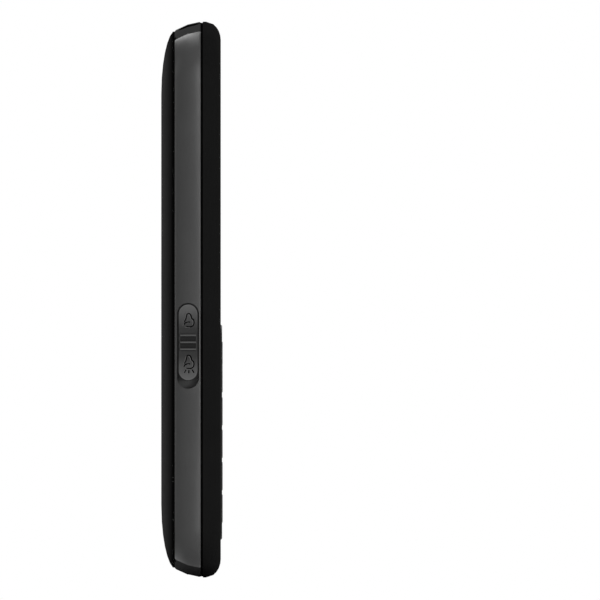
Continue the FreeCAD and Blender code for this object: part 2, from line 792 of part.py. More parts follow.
KEY_ROWS = 4
rows_height = (KEY_ROWS - 1) * key_pitch_up
key_rows = [keys_bottom + d.key_height / 2 + row * key_pitch_up for row in range(KEY_ROWS)]
key_columns = [-key_pitch_across, as_size(0), key_pitch_across]
ring_up = ring_bottom + d.ring_height / 2
side_key_height = (d.ring_height - d.key_row_gap) / 2
side_key_low = ring_bottom + side_key_height / 2
side_key_high = ring_bottom + d.ring_height - side_key_height / 2

surround = Body("keypad_surround")
plate = surround.sketch("XZ_Plane", surround_seat, "plate")
rounded_rectangle(plate, as_size(0), surround_up, surround_width, surround_height,
                  d.surround_corner)
surround.pad(plate, surround_seat - surround_face, "-Y")
surround.bevel(d.surround_rise, surround_face)


def key_hole(sketch, across, up, width, height, corner):
    cut_rectangle(sketch, across, up, width + 2 * d.key_clearance,
                  height + 2 * d.key_clearance, corner + d.key_clearance / 2)


holes = surround.sketch("XZ_Plane", surround_face, "number_holes")
for across in key_columns:
    key_hole(holes, across, key_rows[0], key_width, d.key_height, d.key_corner)
holes_cut = surround.cut(holes, surround_seat - surround_face, "+Y")
surround.repeat(holes_cut, "Z_Axis", rows_height, KEY_ROWS)
holes = surround.sketch("XZ_Plane", surround_face, "upper_holes")
for across in (key_columns[0], key_columns[2]):
    for up in (side_key_low, side_key_high):
        key_hole(holes, across, up, key_width, side_key_height, d.key_corner)
key_hole(holes, key_columns[1], ring_up, key_width, d.ring_height, d.ring_corner)
surround.cut(holes, surround_seat - surround_face, "+Y")


def key_cap(body, across, up, width, height, corner):
    """A cap with a bevelled face on a flange that stays behind the surround."""
    flange = body.sketch("XZ_Plane", flange_back, "flange")
    centred_rectangle(flange, across, up, width + 2 * d.key_flange_width,
                      height + 2 * d.key_flange_width)
    body.pad(flange, flange_back - flange_front, "-Y")
    cap = body.sketch("XZ_Plane", flange_front, "cap")
    cut_rectangle(cap, across, up, width, height, corner)
    body.pad(cap, flange_front - key_face, "-Y")
    body.bevel(d.key_bevel, key_face)


def plungers(body, places, width):
    """Feet behind the flange, one over each dome."""
    sketch = body.sketch("XZ_Plane", flange_back, "plungers")
    for across, up in places:
        centred_rectangle(sketch, across, up, width, width)
    body.pad(sketch, plunger_end - flange_back, "+Y")


def key(label, across, up, height):
    """A key with one plunger over its dome."""
    body = Body(label)
    key_cap(body, across, up, key_width, height, d.key_corner)
    plungers(body, [(across, up)], d.plunger_width)


NUMBER_KEYS = (("key_star", "key_0", "key_hash"), ("key_7", "key_8", "key_9"),
               ("key_4", "key_5", "key_6"), ("key_1", "key_2", "key_3"))
for labels, up in zip(NUMBER_KEYS, key_rows):
    for label, across in zip(labels, key_columns):
        key(label, across, up, d.key_height)
for label, across, up in (("softkey_left", key_columns[0], side_key_high),
                          ("softkey_right", key_columns[2], side_key_high),
                          ("call_key", key_columns[0], side_key_low),
                          ("end_key", key_columns[2], side_key_low)):
    key(label, across, up, side_key_height)

# The navigation ring has four plungers, and the select key moves inside it.
ring_reach_across = key_width / 2 - d.ring_plunger_width
ring_reach_up = d.ring_height / 2 - d.ring_plunger_width
ring_places = [(ring_reach_across, ring_up), (-ring_reach_across, ring_up),
               (as_size(0), ring_up + ring_reach_up), (as_size(0), ring_up - ring_reach_up)]
ring = Body("navigation_ring")
key_cap(ring, as_size(0), ring_up, key_width, d.ring_height, d.ring_corner)
select_hole = ring.sketch("XZ_Plane", flange_back, "select_hole")
key_hole(select_hole, as_size(0), ring_up, d.select_width, d.select_height, d.select_corner)
ring.cut(select_hole, flange_back - key_face, "-Y")
plungers(ring, ring_places, d.ring_plunger_width)

select = Body("select_key")
foot_front = flange_back + d.key_travel + d.key_air
foot_margin = 2 * (d.key_clearance + d.key_flange_width)
foot = select.sketch("XZ_Plane", plunger_end, "foot")
centred_rectangle(foot, as_size(0), ring_up, d.select_width + foot_margin,
                  d.select_height + foot_margin)
select.pad(foot, plunger_end - foot_front, "-Y")
cap = select.sketch("XZ_Plane", foot_front, "cap")
cut_rectangle(cap, as_size(0), ring_up, d.select_width, d.select_height, d.select_corner)
select.pad(cap, foot_front - key_face, "-Y")
select.bevel(d.key_bevel, key_face)

domes = Body("key_dome_sheet")
film = domes.sketch("XZ_Plane", board_front, "film")
centred_rectangle(film, as_size(0), (key_rows[0] + side_key_high) / 2,
                  2 * key_pitch_across + key_width, side_key_high - key_rows[0] + d.key_height)
domes.pad(film, d.dome_sheet_thickness, "-Y")
snaps = domes.sketch("XZ_Plane", sheet_front, "number_domes")
for across in key_columns:
    octagon(snaps, across, key_rows[0], d.dome_radius)
snap_row = domes.pad(snaps, d.dome_height, "-Y")
domes.repeat(snap_row, "Z_Axis", rows_height, KEY_ROWS)
snaps = domes.sketch("XZ_Plane", sheet_front, "upper_domes")
for across in (key_columns[0], key_columns[2]):
    for up in (side_key_low, side_key_high):
        octagon(snaps, across, up, d.dome_radius)
for across, up in ring_places + [(as_size(0), ring_up)]:
    octagon(snaps, across, up, d.ring_plunger_width / 2)
domes.pad(snaps, d.dome_height, "-Y")


# Display and earpiece

window = Body("display_window")
outline = window.sketch("XZ_Plane", front_face + d.window_sunk + d.window_thickness, "pane")
rounded_rectangle(outline, as_size(0), window_up, window_width, window_height,
                  d.window_corner)
window.pad(outline, d.window_thickness, "-Y")

display_half = window_width / 2 - d.display_inset
keep(box("display", -display_half, display_half, front_plate_back + d.fit, board_front,
         window_bottom + d.display_inset, window_top - d.display_inset), "display_module")

mesh_thickness = d.front_wall / 2 - 2 * d.fit
keep(box("mesh", -mesh_width / 2, mesh_width / 2,
         earpiece_mesh_front + d.fit, earpiece_mesh_front + d.fit + mesh_thickness,
         earpiece_up - mesh_height / 2, earpiece_up + mesh_height / 2), "earpiece_mesh")
keep(box("capsule", -d.earpiece_width / 2, d.earpiece_width / 2,
         front_plate_back + d.fit, board_front,
         earpiece_up - d.earpiece_height / 2, earpiece_up + d.earpiece_height / 2), "earpiece")


# Main board with its parts

board = Body("main_board")
outline = board.sketch("XZ_Plane", board_back, "board")
board_end = d.end_wall + d.end_arch + d.board_clearance
cut_rectangle(outline, as_size(0), d.body_height / 2,
              2 * (inner_half_width - d.board_clearance), d.body_height - 2 * board_end,
              inner_corner)
board.pad(outline, d.board_thickness, "-Y")
board.cut(at_screws(board, board_back, octagon, screw_hole_radius + d.fit, "screw_holes"),
          d.board_thickness, "-Y")


def on_board(label, node, left, width, bottom, height, thickness):
    """A part that lies on the rear side of the main board."""
    keep(box(label, left, left + width, board_back, board_back + thickness,
             bottom, bottom + height), node)


can_thickness = d.board_back - d.bay_floor_front - d.can_air
upper_can_bottom = d.body_height - d.upper_can_down - d.upper_can_height
on_board("upper_can", "shield_can_upper", -d.upper_can_left, d.upper_can_width,
         upper_can_bottom, d.upper_can_height, can_thickness)
lower_can_bottom = d.battery_bottom + d.lower_can_up
on_board("lower_can", "shield_can_lower", -d.lower_can_width / 2, d.lower_can_width,
         lower_can_bottom, upper_can_bottom - d.can_gap - lower_can_bottom, can_thickness)
holders_bottom = d.battery_bottom + d.holders_up
card_left = d.sim_width + d.holder_gap - d.holders_left
on_board("sim", "sim_holder", -d.holders_left, d.sim_width, holders_bottom, d.sim_height,
         d.holder_thickness)
on_board("card", "card_holder", card_left, d.card_width, holders_bottom, d.card_height,
         d.holder_thickness)
on_board("mic", "microphone", d.jack_across - d.mic_width / 2, d.mic_width,
         d.mic_up, d.mic_height, d.mic_depth)
keep(rod("motor", d.motor_across, board_back, upper_can_bottom + d.motor_up + d.motor_radius,
         d.motor_radius, d.motor_thickness, "+Y"), "vibration_motor")
aerial_right = inner_half_width - d.aerial_inset
keep(box("aerial", aerial_right - d.aerial_width, aerial_right,
         d.deck_front - d.aerial_thickness, d.deck_front,
         d.aerial_up, d.aerial_up + d.aerial_height), "antenna")


# Middle housing: grey band, deck and battery bay

BAND_STATIONS = 2

middle = Body("middle_housing")
sections = []
bevel_front = band_front + d.band_bevel
bevel_back = d.band_back - d.band_bevel
levels = [(band_front, d.band_bevel_depth), (bevel_front, as_size(0))]
for step in range(1, BAND_STATIONS):
    part_way = bevel_front + (bevel_back - bevel_front) * (step / BAND_STATIONS)
    levels.append((part_way, as_size(0)))
levels += [(bevel_back, as_size(0)), (d.band_back, d.band_bevel_depth)]
for number, (depth, inset) in enumerate(levels):
    section = middle.sketch("XZ_Plane", depth, f"section_{number}")
    arched_outline(section, half_width - inset, crown(depth) - inset, d.corner_radius - inset)
    sections.append(section)
middle.loft(sections)

# The hollow runs from the front to the deck's underside.
hollow = middle.sketch("XZ_Plane", band_front, "hollow")
arched_outline(hollow, inner_half_width, d.body_height - d.band_end_wall, inner_corner)
middle.cut(hollow, d.deck_front - band_front, "+Y")

# The deck stands behind the band, so its edge is the floor of the cover's seam.
deck = middle.sketch("XZ_Plane", d.band_back, "deck")
arched_outline(deck, half_width - d.seam_depth, crown(d.band_back) - d.seam_depth,
               d.corner_radius - d.seam_depth)
middle.pad(deck, d.cover_seam, "+Y")

# A lip inside the front seam closes the gap between the shells.
lip = middle.sketch("XZ_Plane", band_front, "lip")
arched_outline(lip, half_width - d.seam_depth, crown(band_front) - d.seam_depth,
               d.corner_radius - d.seam_depth)
arched_outline(lip, inner_half_width, d.body_height - d.end_wall, inner_corner)
middle.pad(lip, d.front_seam, "-Y")

# Battery bay: a tub hung from the deck
bay_half_width = d.battery_width / 2 + d.bay_clearance
tub = middle.sketch("XZ_Plane", -d.bay_floor_front, "tub")
rectangle(tub, -bay_half_width - d.bay_wall, bay_half_width + d.bay_wall,
          bay_bottom - d.bay_wall, bay_top + d.bay_wall)
middle.pad(tub, deck_back + d.bay_floor_front, "+Y")
bay = middle.sketch("XZ_Plane", deck_back, "bay")
rectangle(bay, -bay_half_width, bay_half_width, bay_bottom, bay_top)
middle.cut(bay, deck_back - d.bay_floor_back, "-Y")
card_window = middle.sketch("XZ_Plane", d.bay_floor_back, "card_window")
rectangle(card_window, -d.holders_left - d.holder_margin,
          card_left + d.card_width + d.holder_margin,
          holders_bottom - d.holder_margin, holders_bottom + d.sim_height + d.holder_margin)
middle.cut(card_window, d.bay_floor_back + d.bay_floor_front, "-Y")
contact_gate = middle.sketch("XZ_Plane", d.deck_front, "contact_gate")
gate_half_width = d.contact_width / 2 + d.bay_clearance
rectangle(contact_gate, -gate_half_width, gate_half_width,
          bay_bottom - d.bay_wall - d.fit, bay_bottom)
middle.cut(contact_gate, d.deck_front + d.bay_floor_front, "-Y")

# Screw bosses
boss_radius = d.screw_head_radius + d.boss_wall
middle.pad(at_screws(middle, board_back, octagon, boss_radius, "bosses"),
           d.deck_front - board_back, "+Y")
head_holes = at_screws(middle, deck_back, octagon, d.screw_head_radius + d.fit, "head_holes")
middle.cut(head_holes, deck_back + d.screw_seat, "-Y")
shank_holes = at_screws(middle, -d.screw_seat, octagon, screw_hole_radius, "shank_holes")
middle.cut(shank_holes, -d.screw_seat - board_back, "-Y")

# Strap post: a solid corner with a bent tunnel behind the post
strap_front = d.strap_middle - d.strap_width / 2
strap_low, strap_high = d.body_height - d.strap_low, d.body_height - d.strap_high
strap_inner, strap_outer = half_width - d.strap_inner, half_width - d.strap_outer
corner_block = middle.sketch("XZ_Plane", band_front, "strap_block")
polygon(corner_block, [
    (strap_inner - d.side_wall, strap_low - d.side_wall),
    (inner_half_width - d.strap_block_inset, strap_low - d.side_wall),
    (strap_outer, strap_high + d.side_wall),
    (strap_inner - d.side_wall, strap_high + d.side_wall),
])
middle.pad(corner_block, d.deck_front - band_front, "+Y")
tunnel = middle.sketch("XZ_Plane", strap_front, "strap_tunnel")
polygon(tunnel, [
    (strap_inner, strap_low), (half_width + d.side_wall, strap_low),
    (half_width + d.side_wall, strap_high), (strap_outer, strap_high),
    (strap_outer, d.body_height), (strap_inner, d.body_height),
])
middle.cut(tunnel, d.strap_width, "+Y")

# Fingernail notch beside the cover, on the right
notch = middle.sketch("YZ_Plane", half_width, "notch")
upright_slot(notch, d.notch_middle, d.notch_bottom, d.notch_bottom + d.notch_length,
             d.notch_width)
middle.cut(notch, d.notch_depth, "-X")

# Torch slot and the opening in the deck over the slide
slot = middle.sketch("YZ_Plane", -half_width, "torch_slot")
upright_slot(slot, d.slot_middle, d.slot_bottom, d.slot_top, d.slot_width)
middle.cut(slot, d.side_wall, "+X")
slide_bottom = d.slot_top - d.slide_clearance - d.slide_length
slide_top = d.slot_top - d.slide_clearance
chamber_bottom = slide_bottom - d.slide_travel - d.slide_flange - d.chamber_air
chamber_top = slide_top + d.slide_flange + d.chamber_air
chamber = middle.sketch("XZ_Plane", deck_back, "slide_chamber")
rectangle(chamber, -inner_half_width, -inner_half_width + d.chamber_width,
          chamber_bottom, chamber_top)
middle.cut(chamber, deck_back - d.deck_front, "-Y")

# Ends: torch and audio socket at the top, charging socket and microphone at the bottom
lens_hole = middle.sketch("XY_Plane", torch_floor, "lens_hole")
circle(lens_hole, -d.torch_across, d.torch_middle, d.torch_radius + d.fit)
middle.cut(lens_hole, d.body_height - torch_floor, "+Z")
light_hole = middle.sketch("XY_Plane", torch_floor, "light_hole")
circle(light_hole, -d.torch_across, d.torch_middle, d.torch_radius - d.torch_ledge)
middle.cut(light_hole, d.torch_ledge_depth, "-Z")
jack_hole = middle.sketch("XY_Plane", d.body_height, "jack_hole")
circle(jack_hole, d.jack_across, d.jack_middle, d.jack_radius + d.jack_air)
end_hole_depth = d.band_end_wall + d.end_arch
middle.cut(jack_hole, end_hole_depth, "-Z")
usb_hole = middle.sketch("XY_Plane", as_size(0), "usb_hole")
centred_rectangle(usb_hole, as_size(0), -d.usb_middle, d.usb_width + 2 * d.usb_air,
                  d.usb_height + 2 * d.usb_air)
middle.cut(usb_hole, end_hole_depth, "+Z")
mic_hole = middle.sketch("XY_Plane", as_size(0), "mic_hole")
circle(mic_hole, d.jack_across, board_back + d.mic_depth / 2 + d.mic_hole_radius,
       d.mic_hole_radius)
middle.cut(mic_hole, end_hole_depth, "+Z")

# Sound opening over the loudspeaker, and slots for the cover's tongues
sound_hole = middle.sketch("XZ_Plane", deck_back, "sound_hole")
centred_rectangle(sound_hole, as_size(0), d.speaker_up,
                  d.speaker_width - 2 * d.sound_hole_margin, d.sound_slot)
middle.cut(sound_hole, deck_back - d.deck_front, "-Y")
tongue_across = inner_half_width - d.tongue_inset
TONGUE_ROWS = 3
tongue_rows = [d.tongue_low + row * d.tongue_pitch for row in range(TONGUE_ROWS)]


def tongues(body, at, slack, name):
    """A sketch with the six tongues, or with the slots that take them."""
    sketch = body.sketch("XZ_Plane", at, name)
    reach_across = d.tongue_thickness / 2 + slack
    reach_up = d.tongue_length / 2 + slack
    for up in tongue_rows:
        for across in (-tongue_across, tongue_across):
            rectangle(sketch, across - reach_across, across + reach_across,
                      up - reach_up, up + reach_up)
    return sketch


middle.cut(tongues(middle, deck_back, d.tongue_slack, "tongue_slots"),
           deck_back - d.deck_front, "-Y")


# Rear cover: curved at the ends, rounded at the long edges, with the loudspeaker's slots

def cover_section(body, name, sine_there, cosine_there, inset):
    """One outline of the cover, at a place round its rear rounding."""
    depth = d.rear_round_start + (d.rear_depth - d.rear_round_start - inset) * sine_there
    flat_top = crown(d.rear_round_start) - d.rear_round_height
    top = flat_top + (d.rear_round_height - inset) * cosine_there
    width = half_width - inset - (d.rear_rim_width - inset) * (1 - cosine_there)
    section = body.sketch("XZ_Plane", depth, name)
    arched_outline(section, width, top, d.corner_radius - inset)
    return section


def cover_sections(body, name, angles, inset):
    """The outlines from the edge that meets the band to the flat back."""
    edge_sine = (cover_front - d.rear_round_start) / (d.rear_depth - d.rear_round_start - inset)
    edge_cosine = root(1 - edge_sine * edge_sine)
    outlines = [cover_section(body, f"{name}_edge", edge_sine, edge_cosine, inset)]
    for angle in angles:
        outlines.append(cover_section(body, f"{name}_{angle}", sine(angle), cosine(angle), inset))
    return outlines


COVER_STATIONS = (26, 38, 50, 62, 75, 90)
COVER_INNER_STATIONS = (45, 90)
SOUND_SLOTS = 6

cover = Body("rear_cover")
cover.loft(cover_sections(cover, "outer", COVER_STATIONS, as_size(0)))
cover.loft(cover_sections(cover, "inner", COVER_INNER_STATIONS, d.cover_wall), adds=False)
sound_slot = cover.sketch("XZ_Plane", d.rear_depth, "sound_slot")
sound_slots_width = (SOUND_SLOTS - 1) * d.sound_slot_pitch
centred_rectangle(sound_slot, -sound_slots_width / 2, d.speaker_up + d.sound_slot_rise,
                  d.sound_slot_width, d.sound_slot)
slot_cut = cover.cut(sound_slot, 2 * d.cover_wall, "-Y")
cover.repeat(slot_cut, "X_Axis", sound_slots_width, SOUND_SLOTS)
tongue_root = d.rear_depth - d.tongue_root_depth
cover.pad(tongues(cover, tongue_root, as_size(0), "tongues"), tongue_root - d.deck_front, "-Y")


# Battery and its contacts

battery_back = d.bay_floor_back + d.battery_depth
keep(box("cell", -d.battery_width / 2, d.battery_width / 2, d.bay_floor_back, battery_back,
         d.battery_bottom, d.battery_bottom + d.battery_height), "battery")
contact_top = bay_bottom - d.bay_clearance / 2
contact_block = box("contact_block", -d.contact_width / 2, d.contact_width / 2, board_back,
                    d.deck_front - d.bay_clearance / 2,
                    bay_bottom - d.bay_wall - d.contact_height, contact_top)
prongs = []
for number in (-1, 0, 1):
    middle_of_prong = number * d.prong_pitch
    prongs.append(box(f"prong_{number + 1}", middle_of_prong - d.prong_width / 2,
                      middle_of_prong + d.prong_width / 2,
                      d.bay_floor_back + d.bay_clearance, d.deck_front - 2 * d.bay_clearance,
                      contact_top, d.battery_bottom))
keep(joined("contacts", [contact_block] + prongs), "battery_contacts")


# Loudspeaker under the deck

speaker_bottom = d.speaker_up - d.speaker_height / 2
speaker_top = d.speaker_up + d.speaker_height / 2
keep(box("speaker", -d.speaker_width / 2, d.speaker_width / 2, -d.speaker_ahead, d.deck_front,
         speaker_bottom, speaker_top), "loudspeaker")
keep(box("speaker_mesh", -d.speaker_width / 2, d.speaker_width / 2,
         deck_back, deck_back + d.speaker_mesh_thickness, speaker_bottom, speaker_top),
     "loudspeaker_mesh")


# Torch: lens, lamp, slide and switch

keep(rod("lens", -d.torch_across, d.torch_middle, torch_floor, d.torch_radius,
         d.torch_thickness, "+Z"), "torch_lens")
lamp_top = torch_floor - d.lamp_air
keep(box("lamp", -d.torch_across - d.lamp_width / 2, -d.torch_across + d.lamp_width / 2,
         board_back, d.lamp_back, lamp_top - d.lamp_height, lamp_top), "torch_led")

slide = Body("torch_slider")
slide_face = -half_width + d.slide_sunk
wall_inside = -inner_half_width
flange_outside = wall_inside + 2 * d.fit
flange_inside = flange_outside + d.slide_flange_thickness
slide_width = d.slot_width - 2 * d.slide_clearance
outline = slide.sketch("YZ_Plane", slide_face, "cap")
upright_slot(outline, d.slot_middle, slide_bottom, slide_top, slide_width)
slide.pad(outline, flange_inside - slide_face, "+X")
outline = slide.sketch("YZ_Plane", flange_outside, "flange")
cut_rectangle(outline, d.slot_middle, (slide_bottom + slide_top) / 2,
              slide_width + 2 * d.slide_flange, d.slide_length + 2 * d.slide_flange,
              d.slide_flange_corner)
slide.pad(outline, d.slide_flange_thickness, "+X")
outline = slide.sketch("YZ_Plane", slide_face, "ribs")
for number in (-1, 0, 1):
    rib_up = d.grip_middle + number * d.grip_rib_pitch
    rectangle(outline, d.slot_middle - d.grip_rib_length / 2,
              d.slot_middle + d.grip_rib_length / 2,
              rib_up - d.grip_rib_width / 2, rib_up + d.grip_rib_width / 2)
slide.pad(outline, d.grip_rib_rise, "-X")

# A fork on the slide carries the knob of the switch on the board.
knob_across = flange_inside + d.fork_reach
knob_left, knob_right = knob_across - d.knob_width / 2, knob_across + d.knob_width / 2
knob_up = (slide_bottom + slide_top) / 2
knob_bottom, knob_top = knob_up - d.knob_height / 2, knob_up + d.knob_height / 2
fork_back = d.fork_thickness - d.fork_ahead
fork = slide.sketch("YZ_Plane", flange_inside, "fork")
rectangle(fork, -d.fork_ahead, fork_back, knob_bottom - d.fork_wall, knob_top + d.fork_wall)
slide.pad(fork, knob_right - flange_inside, "+X")
gap = slide.sketch("XZ_Plane", -d.fork_ahead, "fork_gap")
rectangle(gap, knob_left - d.fit, knob_right + d.knob_width, knob_bottom - d.fit,
          knob_top + d.fit)
slide.cut(gap, d.fork_thickness, "+Y")
keep(box("knob", knob_left, knob_right, -d.knob_ahead, fork_back, knob_bottom, knob_top),
     "torch_switch_knob")
switch_body = box("switch_body", knob_left - d.switch_wall, knob_right + d.switch_wall,
                  board_back, -d.switch_ahead,
                  knob_bottom - d.slide_travel - d.switch_wall, knob_top + d.switch_wall)
switch_slot = box("switch_slot", knob_left - d.fit, knob_right + d.fit,
                  -d.knob_ahead - d.fit, as_size(0),
                  knob_bottom - d.slide_travel - 2 * d.fit, knob_top + d.fit)
keep(less("switch", switch_body, switch_slot), "torch_switch")


# Sockets

jack_half = d.jack_body / 2
jack_floor = jack_top - d.jack_length
jack_block = box("jack_block", d.jack_across - jack_half, d.jack_across + jack_half,
                 board_back, d.jack_middle + jack_half, jack_floor - d.jack_end_wall, jack_top)
jack_bore = rod("jack_bore", d.jack_across, d.jack_middle, jack_floor,
                d.jack_radius, d.jack_length + d.jack_end_wall, "+Z")
keep(less("jack", jack_block, jack_bore), "audio_jack")

usb_half = d.usb_width / 2
usb_front, usb_back = -d.usb_middle - d.usb_height / 2, -d.usb_middle + d.usb_height / 2
usb_end = d.usb_mouth + d.usb_depth
usb_shell = box("usb_shell", -usb_half, usb_half, usb_front, usb_back, d.usb_mouth, usb_end)
usb_cavity = box("usb_cavity", d.usb_wall - usb_half, usb_half - d.usb_wall,
                 usb_front + d.usb_wall, usb_back - d.usb_wall, as_size(0),
                 usb_end - 2 * d.usb_wall)
tongue_half = usb_half - d.usb_tongue_inset
usb_tongue = box("usb_tongue", -tongue_half, tongue_half,
                 -d.usb_middle - d.usb_tongue_thickness / 2,
                 -d.usb_middle + d.usb_tongue_thickness / 2,
                 d.usb_mouth + d.usb_tongue_sunk, usb_end)
usb_foot = box("usb_foot", -usb_half, usb_half, board_back, usb_front + d.usb_wall,
               usb_end - d.usb_foot_length, usb_end)
keep(joined("usb", [less("usb_socket_shell", usb_shell, usb_cavity), usb_tongue, usb_foot]),
     "usb_socket")


# Screws from under the cover through the middle housing and the board

screws = []
for number, (across, up) in enumerate(screw_places):
    head = rod(f"head_{number}", across, -d.screw_seat, up, d.screw_head_radius,
               d.screw_head_height, "+Y")
    shank = rod(f"shank_{number}", across, front_plate_back + d.screw_end, up, d.screw_radius,
                -d.screw_seat - front_plate_back - d.screw_end, "+Y")
    screws.append(joined(f"screw_{number}", [head, shank]))
group = doc.addObject("Part::Compound", "screws")
group.Links = screws
keep(group, "housing_screws")


# Every object is sound, then each sub-part is written.

doc.recompute()
for item in doc.Objects:
    if "Invalid" in item.State or "Error" in item.State:
        raise RuntimeError(f"{item.Name} is {item.State}")
for label, piece in pieces.items():
    shape = piece.Shape
    if shape.isNull() or not shape.isValid() or not shape.Solids:
        raise RuntimeError(f"{label} has no sound shape")
os.makedirs("parts", exist_ok=True)
for label, piece in pieces.items():
    piece.Shape.exportStep(os.path.join("parts", label + ".step"))
    print(f"{label}: {len(piece.Shape.Solids)} solid, {piece.Shape.Volume:.1f} mm3")
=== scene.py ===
import json
import math

import bmesh
import bpy
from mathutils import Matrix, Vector

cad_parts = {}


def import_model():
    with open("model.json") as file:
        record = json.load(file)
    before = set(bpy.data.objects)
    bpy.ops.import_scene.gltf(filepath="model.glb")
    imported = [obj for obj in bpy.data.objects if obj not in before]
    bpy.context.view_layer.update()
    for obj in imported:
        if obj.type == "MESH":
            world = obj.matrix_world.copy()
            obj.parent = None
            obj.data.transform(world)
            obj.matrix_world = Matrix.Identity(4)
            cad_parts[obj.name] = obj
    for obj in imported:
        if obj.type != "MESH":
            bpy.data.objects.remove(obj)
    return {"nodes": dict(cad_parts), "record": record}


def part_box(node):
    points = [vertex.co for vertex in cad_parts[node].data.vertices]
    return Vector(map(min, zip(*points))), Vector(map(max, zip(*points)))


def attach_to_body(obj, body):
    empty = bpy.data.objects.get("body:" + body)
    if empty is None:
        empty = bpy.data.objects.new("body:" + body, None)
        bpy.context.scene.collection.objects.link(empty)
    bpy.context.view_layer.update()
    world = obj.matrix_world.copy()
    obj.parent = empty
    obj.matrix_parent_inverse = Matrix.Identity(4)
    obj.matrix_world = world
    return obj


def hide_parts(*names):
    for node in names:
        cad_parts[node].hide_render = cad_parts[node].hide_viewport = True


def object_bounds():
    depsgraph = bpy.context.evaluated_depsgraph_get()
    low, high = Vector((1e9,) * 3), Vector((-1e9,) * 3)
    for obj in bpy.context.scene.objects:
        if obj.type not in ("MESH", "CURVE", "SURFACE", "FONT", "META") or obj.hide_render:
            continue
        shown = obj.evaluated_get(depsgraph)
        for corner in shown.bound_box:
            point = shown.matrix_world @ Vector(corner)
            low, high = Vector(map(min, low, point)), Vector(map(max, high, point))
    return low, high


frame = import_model()
cad_low, cad_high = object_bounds()

# Bar phone, seen from its left side: camera at -X, front of the phone to the right.
# Metres, in the frame's own axes: +Z is the phone's top, -Y its front, -X the torch slide.
MM = 0.001

# Photograph
PICTURE = 600
PIXEL = 0.2302 * MM          # one pixel of the photograph at the phone
MIDDLE_PX = 191.97           # column of the phone's middle plane
BASE_PX = 577.6              # row of the phone's lower end

# Stage
CAMERA_AWAY = 1.0
AMBIENT = 0.3                # soft light from all round
FLOOR_LIFT = 0.5             # how far the floor looks paler than it is lit
FLOOR_RADIUS = 6.0
FLOOR_SIDES = 96
SOFTBOXES = (                # name, direction from the phone, distance, width, height, watts
    ("left_key", (-0.62, -0.78, 0.0), 1.0, 0.5, 0.6, 9.0),
    ("right_fill", (0.75, -0.6, 0.25), 1.0, 0.6, 0.6, 4.0),
    ("top_box", (0.5, 0.18, 0.87), 0.8, 0.3, 1.1, 6.2),
    ("back_box", (-0.35, 1.0, 0.25), 1.0, 0.5, 0.8, 5.0),
)

# Edges of the moulded pieces, rounded on the smooth copies
EDGE = 0.07 * MM
EDGE_STEPS = 2
SHARP_TURN = 32.0            # degrees from which an edge counts as an edge of the form
FLAT_TURN = 0.2              # degrees up to which two faces count as one
WELD = 1e-7                  # vertices nearer than this are one

# Layers of the body along Y
BAND_FRONT = -1.99 * MM
BAND_BACK = 3.98 * MM
DECK_BACK = 4.34 * MM
SEAM_BACK = 4.35 * MM
SEAM_PLAY = 0.0005 * MM
COVER_EDGE = 7.08 * MM

# Band
BAND_CROWN = 0.4 * MM        # bulge of its side, as relief
OUTWARD = 0.6                # how far a face of its outside faces out, as a cosine
ARCH_REACH = 0.9             # share of the half height beyond which its end arches lie
CREASE_ACROSS = 21.82 * MM   # where the end arches meet the round corners
CREASE_PLAY = 0.02 * MM

# Greys of the plastics, some with painted light and shade, and how strongly they mirror
BAND_PAINTED_LIGHT = 0.06             # painted light: paler grey at its front edge
BAND_PAINTED_SHADE = 0.028            # painted shade: darker grey at its back edge
BAND_END = 0.03
SHELL = 0.0085
SURROUND = 0.008
KEYS = 0.01
COVER = 0.03
# painted shade: the cover's grey at its seam
COVER_PAINTED_SHADE = 0.001
CARRIER = 0.002
# painted shade and painted light on the torch slide
SLIDE_PAINTED_SHADE = 0.03
SLIDE_PAINTED_LIGHT = 0.1
SLIDE_FLANGE = 0.06
PLASTIC_SPECULAR = 0.08
BAND_SPECULAR = 0.15
KEY_SPECULAR = 0.3
PRINT_SPECULAR = 0.4
MATTE_SPECULAR = 0.0

# Torch slide
SLIDE_FACE = -27.65 * MM
SLIDE_RIBS = (52.56 * MM, 54.17 * MM, 55.78 * MM)
SLIDE_CREST = 0.17 * MM      # half the height of a rib's crest, paled as a painted highlight
SLIDE_MIDDLE = 0.89 * MM     # its middle along Y
SLIDE_STRAIGHT = 6.55 * MM   # half the straight part of its outline
SLIDE_ROUND = 2.3 * MM
SLIDE_RIM = 0.13 * MM        # rim of its face, darkened as painted shade
SLIDE_FADE = (3.2 * MM, 8.8 * MM)            # from its middle, where painted light turns it pale
# grip between the ribs, darkened as painted shade
SLIDE_GRIP_UP = (52.2 * MM, 56.1 * MM)
SLIDE_GRIP_DEEP = (-0.94 * MM, 2.72 * MM)
APRON_FRONT = -26.3 * MM     # plate that keeps the slot closed as the slide moves
APRON_THICK = 0.4 * MM
APRON_UP = (43.2 * MM, 64.9 * MM)
APRON_ROUND = 2.28 * MM
APRON_STEPS = 12

# Pictograms on the torch slide: a hand torch that points down, in millimetres
LAMP_BODY = ((-1.02, 0.0), (-0.58, 0.55), (-0.52, 1.3), (-0.3, 1.85), (0.3, 1.85), (0.62, 1.35),
             (0.69, 0.8), (1.2, 0.42), (1.3, -0.25), (1.0, -0.95), (0.3, -1.25), (-0.5, -1.1))
LAMP_GLASS = ((-1.07, -0.76), (-0.9, -0.3), (-0.4, -0.12), (0.35, -0.08))
LAMP_RAYS = (((-0.58, -1.45), (-0.99, -2.15)), ((0.07, -1.55), (0.05, -2.25)),
             ((0.83, -1.45), (1.23, -2.15)))
LAMP_DEEP = 0.79 * MM        # their middle along Y
LAMP_OFF_UP = 58.9 * MM
LAMP_ON_UP = 49.3 * MM
STROKE = 0.19 * MM           # half the width of their strokes
STROKE_SUNK = 0.6            # share of that by which they lie below the face
LIP = 0.5                    # pale lip of painted highlight beside a stroke, as a share of its width
LIP_SHIFT = (-0.22, -0.12)   # millimetres across and up

